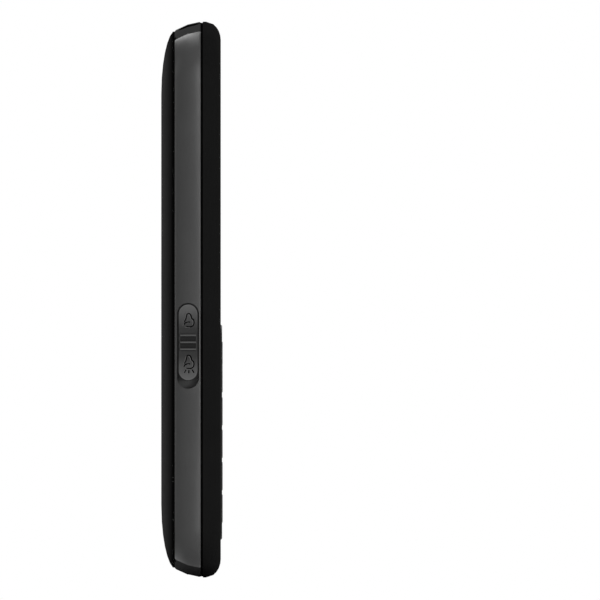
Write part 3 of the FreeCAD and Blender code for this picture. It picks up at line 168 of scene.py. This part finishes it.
# Key caps
CAP_FRONT = -7.08 * MM
CAP_BASE = -5.78 * MM
FLANGE_BACK = -5.2 * MM
FLANGE = 0.25 * MM           # how far a cap's flange reaches round it
FLANGE_CORNER = 0.4 * MM
CAP_CORNER = 1.36 * MM
LEAST_CORNER = 0.15 * MM
CORNER_STEPS = 6
DISH = 0.04 * MM             # depth of the hollow in a cap's face
ROUND_OVER = ((0.22, 0.0), (0.1, 0.04), (0.03, 0.11), (0.0, 0.24))   # depth, inset in mm
HOLLOW = ((0.0, 0.6), (DISH / MM, 1.2))                              # the same, in its face
SELECT_KEY = {"corner": 1.7 * MM, "base": -4.85 * MM, "back": -4.4 * MM, "flange": 0.45 * MM}
RING_CORNER = 3.5 * MM
RING_FLANGE_CORNER = 3.6 * MM
RING_HOLE = (3.4 * MM, 2.5 * MM, 1.9 * MM)   # half across, half up, corner

# Signs on the keys
DIGIT_KEYS = {"key_1": "1", "key_2": "2", "key_3": "3", "key_4": "4", "key_5": "5", "key_6": "6",
              "key_7": "7", "key_8": "8", "key_9": "9", "key_star": "*", "key_0": "0",
              "key_hash": "#"}
SIGN_FRONT = CAP_FRONT + DISH - 0.005 * MM
SIGN_DEPTH = 0.012 * MM
DIGIT_SIZE = 5.6 * MM
STAR_DROP = 1.1 * MM         # a star stands high in its line
DASH = (2.0 * MM, 0.28 * MM, 0.27 * MM)      # half across, half up, corner
HANDSET_DROP = -1.3          # handset, in millimetres: middle of its arcs
HANDSET_BACK = (2.6, 20, 160, 12)            # radius, from and to degrees, steps
HANDSET_INSIDE = (1.65, 140, 40, 8)
HANDSET_END = ((2.5, -1.15), (1.35, -1.15), (1.35, -0.35))

# Surfaces out of the photograph's sight
MESH_PITCH = 0.32 * MM
BOARD_TRACKS = 220.0         # scale of the bricks that stand for tracks
BOARD_PADS = 420.0
PAD_REACH = 0.16
LABEL_BELOW = 9 * MM         # battery label, from the sleeve's lower and upper end
LABEL_ABOVE = 14 * MM
STRIPE_ABOVE = (11 * MM, 9.4 * MM)
DISPLAY_RIM = 2.6 * MM

NODES = frame["nodes"]
SLOT_OF = {row["node"]: row["material_slot"] for row in frame["record"]["subparts"]}
BODY_OF = {}
for body_name, members in frame["record"]["behaviour"]["bodies"].items():
    for member in members:
        BODY_OF[member] = body_name


# Node materials

class Finish:
    """A material whose nodes are added one by one."""

    def __init__(self, name):
        self.material = bpy.data.materials.new(name)
        self.material.use_nodes = True
        self.nodes = self.material.node_tree.nodes
        self.links = self.material.node_tree.links
        self.shader = self.nodes["Principled BSDF"]
        self.place = self.add("ShaderNodeTexCoord").outputs["Object"]

    def add(self, kind, **settings):
        """A new node with its settings."""
        node = self.nodes.new(kind)
        for name, value in settings.items():
            setattr(node, name, value)
        return node

    def link(self, output, target):
        """Links an output to a socket, or to the shader's input of that name."""
        if isinstance(target, str):
            target = self.shader.inputs[target]
        self.links.new(output, target)

    def set(self, **constants):
        """Constants on the shader's own sockets."""
        for name, value in constants.items():
            self.shader.inputs[name.replace("_", " ")].default_value = value
        return self

    def noise(self, size, detail=2.0, stretch=None):
        """Noise with features of a size in metres, at the surface's own place."""
        texture = self.add("ShaderNodeTexNoise")
        texture.inputs["Scale"].default_value = 1.0 / size
        texture.inputs["Detail"].default_value = detail
        place = self.place
        if stretch:
            mapping = self.add("ShaderNodeMapping")
            mapping.inputs["Scale"].default_value = stretch
            self.link(place, mapping.inputs["Vector"])
            place = mapping.outputs["Vector"]
        self.link(place, texture.inputs["Vector"])
        return texture.outputs["Fac"]

    def ramp(self, value, low, high, start=0.3, end=0.7):
        """A value mapped from the range start to end to the range low to high."""
        node = self.add("ShaderNodeMapRange")
        node.inputs["From Min"].default_value = start
        node.inputs["From Max"].default_value = end
        node.inputs["To Min"].default_value = low
        node.inputs["To Max"].default_value = high
        self.link(value, node.inputs["Value"])
        return node.outputs["Result"]

    def math(self, operation, one, other=None):
        """One or two values, sockets or numbers, put through an operation."""
        node = self.add("ShaderNodeMath", operation=operation)
        for socket, value in zip(node.inputs, (one, other)):
            if value is None:
                continue
            if isinstance(value, (int, float)):
                socket.default_value = value
            else:
                self.link(value, socket)
        return node.outputs[0]

    def mix(self, factor, one, other):
        """A colour between two colours."""
        node = self.add("ShaderNodeMix", data_type="RGBA")
        self.link(factor, node.inputs["Factor"])
        for socket, colour in ((node.inputs[6], one), (node.inputs[7], other)):
            if isinstance(colour, tuple):
                socket.default_value = (*colour, 1.0)
            else:
                self.link(colour, socket)
        return node.outputs[2]

    def axis(self, letter):
        """A coordinate of the surface's own place."""
        node = self.add("ShaderNodeSeparateXYZ")
        self.link(self.place, node.inputs[0])
        return node.outputs[letter]

    def inside(self, letter, low, high):
        """1 where a coordinate lies between two values, 0 elsewhere."""
        place = self.axis(letter)
        return self.math("MULTIPLY", self.math("GREATER_THAN", place, low),
                         self.math("LESS_THAN", place, high))

    def bump(self, height, depth):
        """Relief of a depth in metres from a height between 0 and 1."""
        node = self.add("ShaderNodeBump")
        node.inputs["Distance"].default_value = depth
        self.link(height, node.inputs["Height"])
        previous = self.shader.inputs["Normal"]
        if previous.is_linked:
            self.link(previous.links[0].from_socket, node.inputs["Normal"])
        self.link(node.outputs["Normal"], previous)

    def crown(self, letter, low, high, depth):
        """Relief of a surface that bulges between two values of a coordinate."""
        offset = self.math("DIVIDE", self.math("SUBTRACT", self.axis(letter), (low + high) / 2),
                           (high - low) / 2)
        self.bump(self.math("SUBTRACT", 1.0, self.math("MULTIPLY", offset, offset)), depth)


def grey(level, tint=0.0):
    """A grey that is slightly warm or cool."""
    return (level * (1 + tint), level, level * (1 - tint))


def mottled(finish, colour):
    """A colour that varies faintly from place to place."""
    return finish.mix(finish.noise(6 * MM, 3.0), tuple(channel * 0.9 for channel in colour),
                      tuple(channel * 1.1 for channel in colour))


def mould(finish, colour, roughness, specular, grain=0.16 * MM, relief=0.002 * MM):
    """Moulded plastic of a colour: fine spark grain and uneven sheen."""
    finish.link(colour, "Base Color")
    sheen = finish.ramp(finish.noise(2.2 * MM, 4.0), roughness - 0.04, roughness + 0.05)
    finish.link(sheen, "Roughness")
    finish.bump(finish.noise(grain, 1.5), relief)
    return finish.set(Specular_IOR_Level=specular)


def plastic(name, colour, roughness, specular=PLASTIC_SPECULAR):
    """Moulded plastic of one colour, faintly mottled."""
    finish = Finish(name)
    return mould(finish, mottled(finish, colour), roughness, specular)


def band_plastic():
    """Satin plastic of the band, whose side bulges a little between its two edges, with painted
    light that makes it paler towards its front edge and darker towards its back edge.
    """
    finish = Finish("band")
    # painted light and shade: the grey runs from darker at the back edge to paler at the front
    # edge
    painted_light_front = finish.ramp(finish.axis("Y"), 0.0, 1.0, BAND_BACK, BAND_FRONT)
    tone = finish.mix(painted_light_front, mottled(finish, grey(BAND_PAINTED_SHADE)), mottled(finish, grey(BAND_PAINTED_LIGHT)))
    mould(finish, tone, 0.42, BAND_SPECULAR)
    finish.crown("Y", BAND_FRONT, BAND_BACK, BAND_CROWN)
    return finish


def cover_plastic():
    """Fine-textured black of the battery cover, with painted shade that darkens it towards its
    seam.
    """
    finish = Finish("cover")
    # painted shade: the grey falls towards black at the seam
    depth = finish.ramp(finish.axis("Y"), 0.0, 1.0, SEAM_BACK, COVER_EDGE)
    tone = finish.mix(depth, grey(COVER_PAINTED_SHADE), mottled(finish, grey(COVER)))
    return mould(finish, tone, 0.5, MATTE_SPECULAR, grain=0.22 * MM, relief=0.003 * MM)


def slide_plastic():
    """Torch slide with painted light and shade: paler towards its ends, painted shade between its
    ribs and round its rim, and painted highlights on its rib crests.
    """
    finish = Finish("slide")
    low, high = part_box("torch_slider")
    middle = (low.z + high.z) / 2
    away = finish.math("ABSOLUTE", finish.math("SUBTRACT", finish.axis("Z"), middle))
    # painted light: paler towards the slide's ends
    painted_light_ends = finish.ramp(away, 0.0, 1.0, *SLIDE_FADE)
    tone = finish.mix(painted_light_ends, grey(SLIDE_PAINTED_SHADE), grey(SLIDE_PAINTED_LIGHT))
    # painted shade in the recesses between the ribs
    painted_shade_grip = finish.math("MULTIPLY", finish.inside("Z", *SLIDE_GRIP_UP),
                       finish.inside("Y", *SLIDE_GRIP_DEEP))
    tone = finish.mix(painted_shade_grip, tone, grey(SLIDE_PAINTED_SHADE * 0.4))
    # painted highlights along the rib crests
    for rib in SLIDE_RIBS:
        painted_highlight_crest = finish.math("MULTIPLY", painted_shade_grip,
                            finish.inside("Z", rib - SLIDE_CREST, rib + SLIDE_CREST))
        tone = finish.mix(painted_highlight_crest, tone, grey(SLIDE_PAINTED_LIGHT * 0.7))
    past = finish.math("MAXIMUM", finish.math("SUBTRACT", away, SLIDE_STRAIGHT), 0.0)
    aside = finish.math("SUBTRACT", finish.axis("Y"), SLIDE_MIDDLE)
    reach = finish.math("SQRT", finish.math("ADD", finish.math("MULTIPLY", past, past),
                                            finish.math("MULTIPLY", aside, aside)))
    # painted shade round the rim of the face
    rim = finish.math("GREATER_THAN", reach, SLIDE_ROUND - SLIDE_RIM)
    tone = finish.mix(rim, tone, grey(0.0005))
    return mould(finish, tone, 0.45, PLASTIC_SPECULAR)


def metal(name, colour, roughness):
    """Stamped sheet metal with a fine rolled grain."""
    finish = Finish(name)
    grain = finish.noise(0.5 * MM, 3.0, stretch=(1, 1, 14))
    dark = tuple(channel * 0.85 for channel in colour)
    finish.link(finish.mix(grain, dark, colour), "Base Color")
    rough = finish.ramp(finish.noise(1.5 * MM, 3.0), roughness - 0.06, roughness + 0.08)
    finish.link(rough, "Roughness")
    finish.bump(grain, 0.002 * MM)
    return finish.set(Metallic=1.0)


def glass(name, roughness=0.04):
    """A clear moulded pane with the faintest unevenness."""
    finish = Finish(name)
    tone = finish.mix(finish.noise(9 * MM), (0.93, 0.95, 0.96), (0.98, 0.99, 1.0))
    finish.link(tone, "Base Color")
    rough = finish.ramp(finish.noise(4 * MM, 3.0), roughness, roughness + 0.03)
    finish.link(rough, "Roughness")
    return finish.set(Transmission_Weight=1.0, IOR=1.49)


def mesh_cloth():
    """Fine woven acoustic mesh."""
    finish = Finish("mesh")
    threads = []
    for letter in ("X", "Z"):
        turns = finish.math("MULTIPLY", finish.axis(letter), math.tau / MESH_PITCH)
        threads.append(finish.math("ABSOLUTE", finish.math("SINE", turns)))
    weave = finish.math("MAXIMUM", *threads)
    finish.link(finish.mix(weave, grey(0.002), grey(0.045)), "Base Color")
    finish.bump(weave, 0.05 * MM)
    return finish.set(Roughness=0.6, Specular_IOR_Level=PLASTIC_SPECULAR)


def circuit_board():
    """Green solder mask over copper tracks."""
    finish = Finish("board")
    bricks = finish.add("ShaderNodeTexBrick")
    bricks.inputs["Scale"].default_value = BOARD_TRACKS
    bricks.inputs["Mortar Size"].default_value = 0.03
    turn = finish.add("ShaderNodeMapping")
    turn.inputs["Rotation"].default_value = (math.radians(90), 0, 0)
    finish.link(finish.place, turn.inputs["Vector"])
    finish.link(turn.outputs["Vector"], bricks.inputs["Vector"])
    tracks = finish.mix(bricks.outputs["Fac"], (0.012, 0.09, 0.04), (0.03, 0.2, 0.09))
    pads = finish.add("ShaderNodeTexVoronoi")
    pads.inputs["Scale"].default_value = BOARD_PADS
    finish.link(finish.place, pads.inputs["Vector"])
    copper = finish.math("LESS_THAN", pads.outputs["Distance"], PAD_REACH)
    finish.link(finish.mix(copper, tracks, (0.72, 0.52, 0.2)), "Base Color")
    finish.bump(bricks.outputs["Fac"], 0.02 * MM)
    return finish.set(Roughness=0.35)


def battery_sleeve():
    """Printed film sleeve: grey with a paler field and a stripe, no lettering."""
    finish = Finish("battery")
    low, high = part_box("battery")
    field = finish.inside("Z", low.z + LABEL_BELOW, high.z - LABEL_ABOVE)
    stripe = finish.inside("Z", *(high.z - above for above in STRIPE_ABOVE))
    ground = finish.mix(finish.noise(4 * MM, 3.0), grey(0.05), grey(0.062))
    toned = finish.mix(field, ground, grey(0.3, 0.01))
    finish.link(finish.mix(stripe, toned, (0.12, 0.32, 0.2)), "Base Color")
    finish.bump(finish.noise(1.4 * MM, 3.0), 0.01 * MM)
    return finish.set(Roughness=0.38, Coat_Weight=0.3)


def display_panel():
    """Display, switched off: a dark grey field in a black frame."""
    finish = Finish("display")
    low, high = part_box("display_module")
    field = finish.math("MULTIPLY",
                        finish.inside("X", low.x + DISPLAY_RIM, high.x - DISPLAY_RIM),
                        finish.inside("Z", low.z + 3 * DISPLAY_RIM, high.z - DISPLAY_RIM))
    tone = finish.mix(field, grey(0.001), mottled(finish, (0.014, 0.016, 0.018)))
    return mould(finish, tone, 0.2, 0.3, relief=0.0005 * MM)


FINISHES = {
    "front_shell": plastic("front_shell", grey(SHELL), 0.4, MATTE_SPECULAR),
    "surround": plastic("surround", grey(SURROUND), 0.45),
    "keys": plastic("keys", grey(KEYS), 0.4, KEY_SPECULAR),
    "call_key": plastic("call_key", grey(KEYS), 0.4, KEY_SPECULAR),
    "end_key": plastic("end_key", grey(KEYS), 0.4, KEY_SPECULAR),
    "ring": plastic("ring", grey(0.05), 0.3, 0.4),
    "window": glass("window"),
    "display": display_panel(),
    "mesh": mesh_cloth(),
    "metal_parts": metal("metal_parts", grey(0.6, 0.01), 0.34),
    "loudspeaker": plastic("loudspeaker", grey(0.02), 0.5),
    "domes": metal("domes", grey(0.62, 0.01), 0.3),
    "board": circuit_board(),
    "antenna": metal("antenna", (0.75, 0.52, 0.22), 0.3),
    "band": band_plastic(),
    "cover": cover_plastic(),
    "battery": battery_sleeve(),
    "contacts": metal("contacts", (0.8, 0.6, 0.28), 0.28),
    "lens": glass("lens", 0.08),
    "lamp": plastic("lamp", (0.85, 0.72, 0.2), 0.4, 0.4),
    "slide": slide_plastic(),
    "switch": plastic("switch", grey(0.03), 0.45),
    "sockets": plastic("sockets", grey(0.012), 0.4),
    "socket_metal": metal("socket_metal", grey(0.58), 0.3),
    "screws": metal("screws", grey(0.42, 0.01), 0.3),
}
BAND_END_FINISH = plastic("band_end", grey(BAND_END), 0.6, MATTE_SPECULAR)
CARRIER_FINISH = plastic("carrier", grey(CARRIER), 0.5, MATTE_SPECULAR)
APRON_FINISH = plastic("apron", grey(SLIDE_FLANGE), 0.45)
# painted shade in the engraved strokes, and a painted highlight on their lip
ENGRAVING_SHADE_FINISH = plastic("stroke", grey(0.001), 0.5, MATTE_SPECULAR)
ENGRAVING_HIGHLIGHT_FINISH = plastic("stroke_painted_highlight", grey(SLIDE_PAINTED_LIGHT), 0.5)
PRINT = {
    "white": plastic("white_print", grey(0.7), 0.45, PRINT_SPECULAR),
    "green": plastic("green_print", (0.02, 0.32, 0.06), 0.45, PRINT_SPECULAR),
    "red": plastic("red_print", (0.5, 0.02, 0.02), 0.45, PRINT_SPECULAR),
}


# Tools for the pieces

def add_object(name, data):
    """A new object in the scene."""
    piece = bpy.data.objects.new(name, data)
    bpy.context.scene.collection.objects.link(piece)
    return piece


def attach(piece, node, finish=None):
    """Puts a piece on a CAD node's body, in that node's finish or in another."""
    piece.data.materials.clear()
    piece.data.materials.append((finish or FINISHES[SLOT_OF[node]]).material)
    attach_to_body(piece, BODY_OF[node])


def soften(form):
    """Shades a form smoothly between its sharp edges."""
    for face in form.faces:
        face.smooth = True
    for edge in form.edges:
        turn = edge.calc_face_angle(0.0) if len(edge.link_faces) == 2 else math.pi
        edge.smooth = turn < math.radians(SHARP_TURN)


def skin(name, rings, closed=False, smooth=False):
    """A piece stretched over rings of points, closed into a loop or by its two ends."""
    form = bmesh.new()
    rings = [[form.verts.new(point) for point in ring] for ring in rings]
    pairs = list(zip(rings, rings[1:]))
    if closed:
        pairs.append((rings[-1], rings[0]))
    else:
        form.faces.new(rings[0])
        form.faces.new(rings[-1])
    for one, other in pairs:
        for index in range(len(one)):
            following = (index + 1) % len(one)
            form.faces.new((one[index], one[following], other[following], other[index]))
    bmesh.ops.recalc_face_normals(form, faces=form.faces)
    if smooth:
        soften(form)
    mesh = bpy.data.meshes.new(name)
    form.to_mesh(mesh)
    form.free()
    return add_object(name, mesh)


def moulding(name, layers, closed=False, smooth=True):
    """A piece from outlines at levels along Y."""
    rings = [[(across, level, up) for across, up in points] for level, points in layers]
    return skin(name, rings, closed, smooth)


def arc(across, up, radius, start, end, steps):
    """Points along an arc between two angles in degrees."""
    turns = [math.radians(start + (end - start) * step / steps) for step in range(steps + 1)]
    return [(across + radius * math.cos(turn), up + radius * math.sin(turn)) for turn in turns]


def outline(across, up, half_across, half_up, corner):
    """Points round a rectangle with round corners."""
    points = []
    for quarter, (side, rise) in enumerate(((1, 1), (-1, 1), (-1, -1), (1, -1))):
        points += arc(across + side * (half_across - corner), up + rise * (half_up - corner),
                      corner, 90 * quarter, 90 * (quarter + 1), CORNER_STEPS)
    return points


def front_of(node):
    """A node's middle across and up, and half its size across and up."""
    low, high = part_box(node)
    return ((low.x + high.x) / 2, (low.z + high.z) / 2,
            (high.x - low.x) / 2, (high.z - low.z) / 2)


# Housings

def smooth_copy(node, edge=EDGE):
    """The node's own form with smooth curves and rounded edges, in its place."""
    mesh = NODES[node].data.copy()
    normals = mesh.attributes.get("custom_normal")
    if normals:
        mesh.attributes.remove(normals)
    form = bmesh.new()
    form.from_mesh(mesh)
    bmesh.ops.remove_doubles(form, verts=form.verts, dist=WELD)
    bmesh.ops.dissolve_limit(form, angle_limit=math.radians(FLAT_TURN), verts=form.verts,
                             edges=form.edges)
    soften(form)
    form.to_mesh(mesh)
    form.free()
    piece = add_object(node + "_skin", mesh)
    if edge:
        bevel = piece.modifiers.new("edges", "BEVEL")
        bevel.width = edge
        bevel.segments = EDGE_STEPS
        bevel.limit_method = "ANGLE"
        bevel.angle_limit = math.radians(SHARP_TURN)
        bevel.harden_normals = True
        bevel.use_clamp_overlap = True
    attach(piece, node)
    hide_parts(node)
    return piece


def dress_band(piece):
    """The band's outside in its satin, its end arches plain and its inside black."""
    satin, plain, black = range(3)
    piece.data.materials.append(BAND_END_FINISH.material)
    piece.data.materials.append(CARRIER_FINISH.material)
    middle = (cad_low + cad_high) / 2
    half = (cad_high - cad_low) / 2
    for face in piece.data.polygons:
        centre = face.center
        out = Vector(((centre.x - middle.x) / half.x, 0, (centre.z - middle.z) / half.z))
        outside = (BAND_FRONT < centre.y < BAND_BACK
                   and face.normal.dot(out.normalized()) > OUTWARD)
        arch = (abs(centre.x) < CREASE_ACROSS
                and abs(centre.z - middle.z) > half.z * ARCH_REACH)
        face.material_index = (plain if arch else satin) if outside else black


def close_cover_seam(piece):
    """Brings the deck up to the battery cover, so no light shows through the seam."""
    for vertex in piece.data.vertices:
        if vertex.co.y > DECK_BACK - SEAM_PLAY:
            vertex.co.y = SEAM_BACK - SEAM_PLAY


def sharpen_creases(piece):
    """Keeps the lines sharp where the end arches meet the round corners."""
    mesh = piece.data
    for edge in mesh.edges:
        ends = [mesh.vertices[index].co for index in edge.vertices]
        if all(abs(abs(end.x) - CREASE_ACROSS) < CREASE_PLAY for end in ends):
            edge.use_edge_sharp = True


# Key caps

def face_layers(across, up, half_across, half_up, corner, steps):
    """Outlines at the depths and insets of a cap's face."""
    return [(CAP_FRONT + depth * MM,
             outline(across, up, half_across - inset * MM, half_up - inset * MM,
                     max(corner - inset * MM, LEAST_CORNER))) for depth, inset in steps]


def key_cap(node, corner=CAP_CORNER, base=CAP_BASE, back=FLANGE_BACK, flange=FLANGE):
    """A key with a round-cornered, dished cap over its flange."""
    across, up, half_across, half_up = front_of(node)
    rim = outline(across, up, half_across, half_up, FLANGE_CORNER)
    cap = (across, up, half_across - flange, half_up - flange, corner)
    layers = [(back, rim), (base, rim), (base, outline(*cap))]
    piece = moulding(node + "_cap", layers + face_layers(*cap, ROUND_OVER + HOLLOW))
    attach(piece, node)
    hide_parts(node)


def ring_cap(node):
    """Navigation ring round the select key."""
    across, up, half_across, half_up = front_of(node)
    rim = outline(across, up, half_across, half_up, RING_FLANGE_CORNER)
    cap = (across, up, half_across - FLANGE, half_up - FLANGE, RING_CORNER)
    layers = [(FLANGE_BACK, rim), (CAP_BASE, rim), (CAP_BASE, outline(*cap))]
    layers += face_layers(*cap, ROUND_OVER)
    layers += [(CAP_FRONT + depth * MM,
                outline(across, up, *(size + inset * MM for size in RING_HOLE)))
               for depth, inset in ROUND_OVER[::-1]]
    layers.append((FLANGE_BACK, outline(across, up, *RING_HOLE)))
    piece = moulding(node + "_cap", layers, closed=True)
    attach(piece, node)
    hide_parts(node)


# Signs on the keys

def digit(node, text):
    """Prints a number, star or hash on a key."""
    curve = bpy.data.curves.new(node + "_digit", "FONT")
    curve.body = text
    curve.size = DIGIT_SIZE
    curve.align_x, curve.align_y = "CENTER", "CENTER"
    curve.extrude = SIGN_DEPTH
    piece = add_object(node + "_digit", curve)
    across, up = front_of(node)[:2]
    piece.location = (across, SIGN_FRONT, up - (STAR_DROP if text == "*" else 0.0))
    piece.rotation_euler = (math.radians(90), 0, 0)
    attach(piece, node, PRINT["white"])


def plate(node, name, points, colour):
    """Prints a shape on a key from its outline."""
    layers = [(SIGN_FRONT - SIGN_DEPTH, points), (SIGN_FRONT + SIGN_DEPTH, points)]
    attach(moulding(name, layers, smooth=False), node, PRINT[colour])


def dash(node):
    """Prints a short line on a softkey."""
    plate(node, node + "_dash", outline(*front_of(node)[:2], *DASH), "white")


def handset(node, name, tilt, colour):
    """Prints a telephone handset, turned by an angle in degrees."""
    across, up = front_of(node)[:2]
    shape = arc(0.0, HANDSET_DROP, *HANDSET_BACK)
    shape += [(-x, z) for x, z in HANDSET_END]
    shape += arc(0.0, HANDSET_DROP, *HANDSET_INSIDE)
    shape += HANDSET_END[::-1]
    cosine, sine = math.cos(math.radians(tilt)), math.sin(math.radians(tilt))
    plate(node, name, [(across + (x * cosine - z * sine) * MM, up + (x * sine + z * cosine) * MM)
                       for x, z in shape], colour)


# Torch slide: the plate behind its face, and its pictograms

def apron():
    """Round-ended plate that moves behind the slot, so no gap opens into the housing."""
    low, high = APRON_UP
    points = arc(SLIDE_MIDDLE, high - APRON_ROUND, APRON_ROUND, 0, 180, APRON_STEPS)
    points += arc(SLIDE_MIDDLE, low + APRON_ROUND, APRON_ROUND, 180, 360, APRON_STEPS)
    rings = [[(across, deep, up) for deep, up in points]
             for across in (APRON_FRONT, APRON_FRONT + APRON_THICK)]
    attach(skin("torch_apron", rings), "torch_slider", APRON_FINISH)


def stroke(name, points, radius, finish, shift=(0.0, 0.0)):
    """One stroke of a pictogram: millimetres across, towards the front, and up."""
    curve = bpy.data.curves.new(name, "CURVE")
    curve.dimensions = "3D"
    curve.bevel_depth = radius
    curve.bevel_resolution = 2
    spline = curve.splines.new("NURBS")
    spline.points.add(len(points) - 1)
    for point, (across, up) in zip(spline.points, points):
        point.co = (SLIDE_FACE + radius * STROKE_SUNK, LAMP_DEEP - (across + shift[0]) * MM,
                    (up + shift[1]) * MM, 1)
    spline.order_u = 3
    spline.use_endpoint_u = True
    attach(add_object(name, curve), "torch_slider", finish)


def lamp_sign(name, up, lit):
    """An engraved hand torch, with three rays where it is lit: black strokes of painted shade,
    each with a pale lip of painted highlight.
    """
    lines = [("body", LAMP_BODY), ("glass", LAMP_GLASS)]
    if lit:
        lines += [("ray_%d" % number, ray) for number, ray in enumerate(LAMP_RAYS)]
    for part, line in lines:
        points = [(across, up / MM + rise) for across, rise in line]
        stroke("%s_%s" % (name, part), points, STROKE, ENGRAVING_SHADE_FINISH)
        stroke("%s_%s_lip" % (name, part), points, STROKE * LIP, ENGRAVING_HIGHLIGHT_FINISH, LIP_SHIFT)


# Stage, light and camera

def seen_plainly(nodes, links):
    """1 for the rays that see the backdrop as it is: camera, glossy and transmission rays."""
    path = nodes.new("ShaderNodeLightPath")
    seen = path.outputs["Is Camera Ray"]
    for other in ("Is Glossy Ray", "Is Transmission Ray"):
        either = nodes.new("ShaderNodeMath")
        either.operation = "MAXIMUM"
        links.new(seen, either.inputs[0])
        links.new(path.outputs[other], either.inputs[1])
        seen = either.outputs[0]
    return seen


def floor():
    """A plain pale floor that keeps the phone's shadow."""
    finish = Finish("floor")
    finish.link(finish.mix(finish.noise(0.4), grey(0.84), grey(0.86)), "Base Color")
    finish.set(Roughness=0.8, Specular_IOR_Level=0.2, Emission_Color=(1, 1, 1, 1))
    lift = finish.math("MULTIPLY", seen_plainly(finish.nodes, finish.links), FLOOR_LIFT)
    finish.link(lift, "Emission Strength")
    bpy.ops.mesh.primitive_circle_add(vertices=FLOOR_SIDES, radius=FLOOR_RADIUS,
                                      fill_type="NGON")
    ground = bpy.context.object
    ground.name = "floor"
    ground.data.materials.append(finish.material)


def world():
    """White behind the phone and in what it mirrors, a plain soft level elsewhere."""
    sky = bpy.data.worlds.new("studio")
    bpy.context.scene.world = sky
    sky.use_nodes = True
    nodes, links = sky.node_tree.nodes, sky.node_tree.links
    background = nodes["Background"]
    background.inputs["Color"].default_value = (1, 1, 1, 1)
    level = nodes.new("ShaderNodeMapRange")
    level.inputs["To Min"].default_value = AMBIENT
    level.inputs["To Max"].default_value = 1.0
    links.new(seen_plainly(nodes, links), level.inputs["Value"])
    links.new(level.outputs["Result"], background.inputs["Strength"])


def softbox(name, direction, distance, width, height, power):
    """An area light that faces the phone's middle."""
    lamp = bpy.data.lights.new(name, "AREA")
    lamp.shape = "RECTANGLE"
    lamp.size, lamp.size_y = width, height
    lamp.energy = power
    holder = add_object(name, lamp)
    middle = (cad_low + cad_high) / 2
    away = Vector(direction).normalized()
    holder.location = middle + away * distance
    holder.rotation_euler = (-away).to_track_quat("-Z", "Y").to_euler()


def camera():
    """Straight at the phone's left side, without perspective, as the photograph has it."""
    data = bpy.data.cameras.new("camera")
    data.type = "ORTHO"
    data.ortho_scale = PICTURE * PIXEL
    data.clip_start, data.clip_end = 0.01, 20.0
    view = add_object("camera", data)
    across = (MIDDLE_PX - PICTURE / 2) * PIXEL
    up = (BASE_PX - PICTURE / 2) * PIXEL
    view.location = (-CAMERA_AWAY, across, up)
    view.rotation_euler = (math.radians(90), 0, math.radians(-90))
    bpy.context.scene.camera = view


# The phone

for node_name, cad_node in NODES.items():
    cad_node.data.materials.clear()
    cad_node.data.materials.append(FINISHES[SLOT_OF[node_name]].material)

for node_name in ("front_housing", "torch_slider", "display_window", "keypad_surround",
                  "torch_lens"):
    smooth_copy(node_name)
smooth_copy("rear_cover", edge=0.0)
band_skin = smooth_copy("middle_housing")
dress_band(band_skin)
close_cover_seam(band_skin)
sharpen_creases(band_skin)

for node_name in (*DIGIT_KEYS, "softkey_left", "softkey_right", "call_key", "end_key"):
    key_cap(node_name)
key_cap("select_key", **SELECT_KEY)
ring_cap("navigation_ring")

for node_name, text in DIGIT_KEYS.items():
    digit(node_name, text)
dash("softkey_left")
dash("softkey_right")
handset("call_key", "call_sign", 45.0, "green")
handset("end_key", "end_sign", 0.0, "red")

apron()
lamp_sign("lamp_off", LAMP_OFF_UP, False)
lamp_sign("lamp_on", LAMP_ON_UP, True)

# The studio

floor()
world()
for box in SOFTBOXES:
    softbox(*box)
camera()
bpy.context.scene.view_settings.view_transform = "Standard"
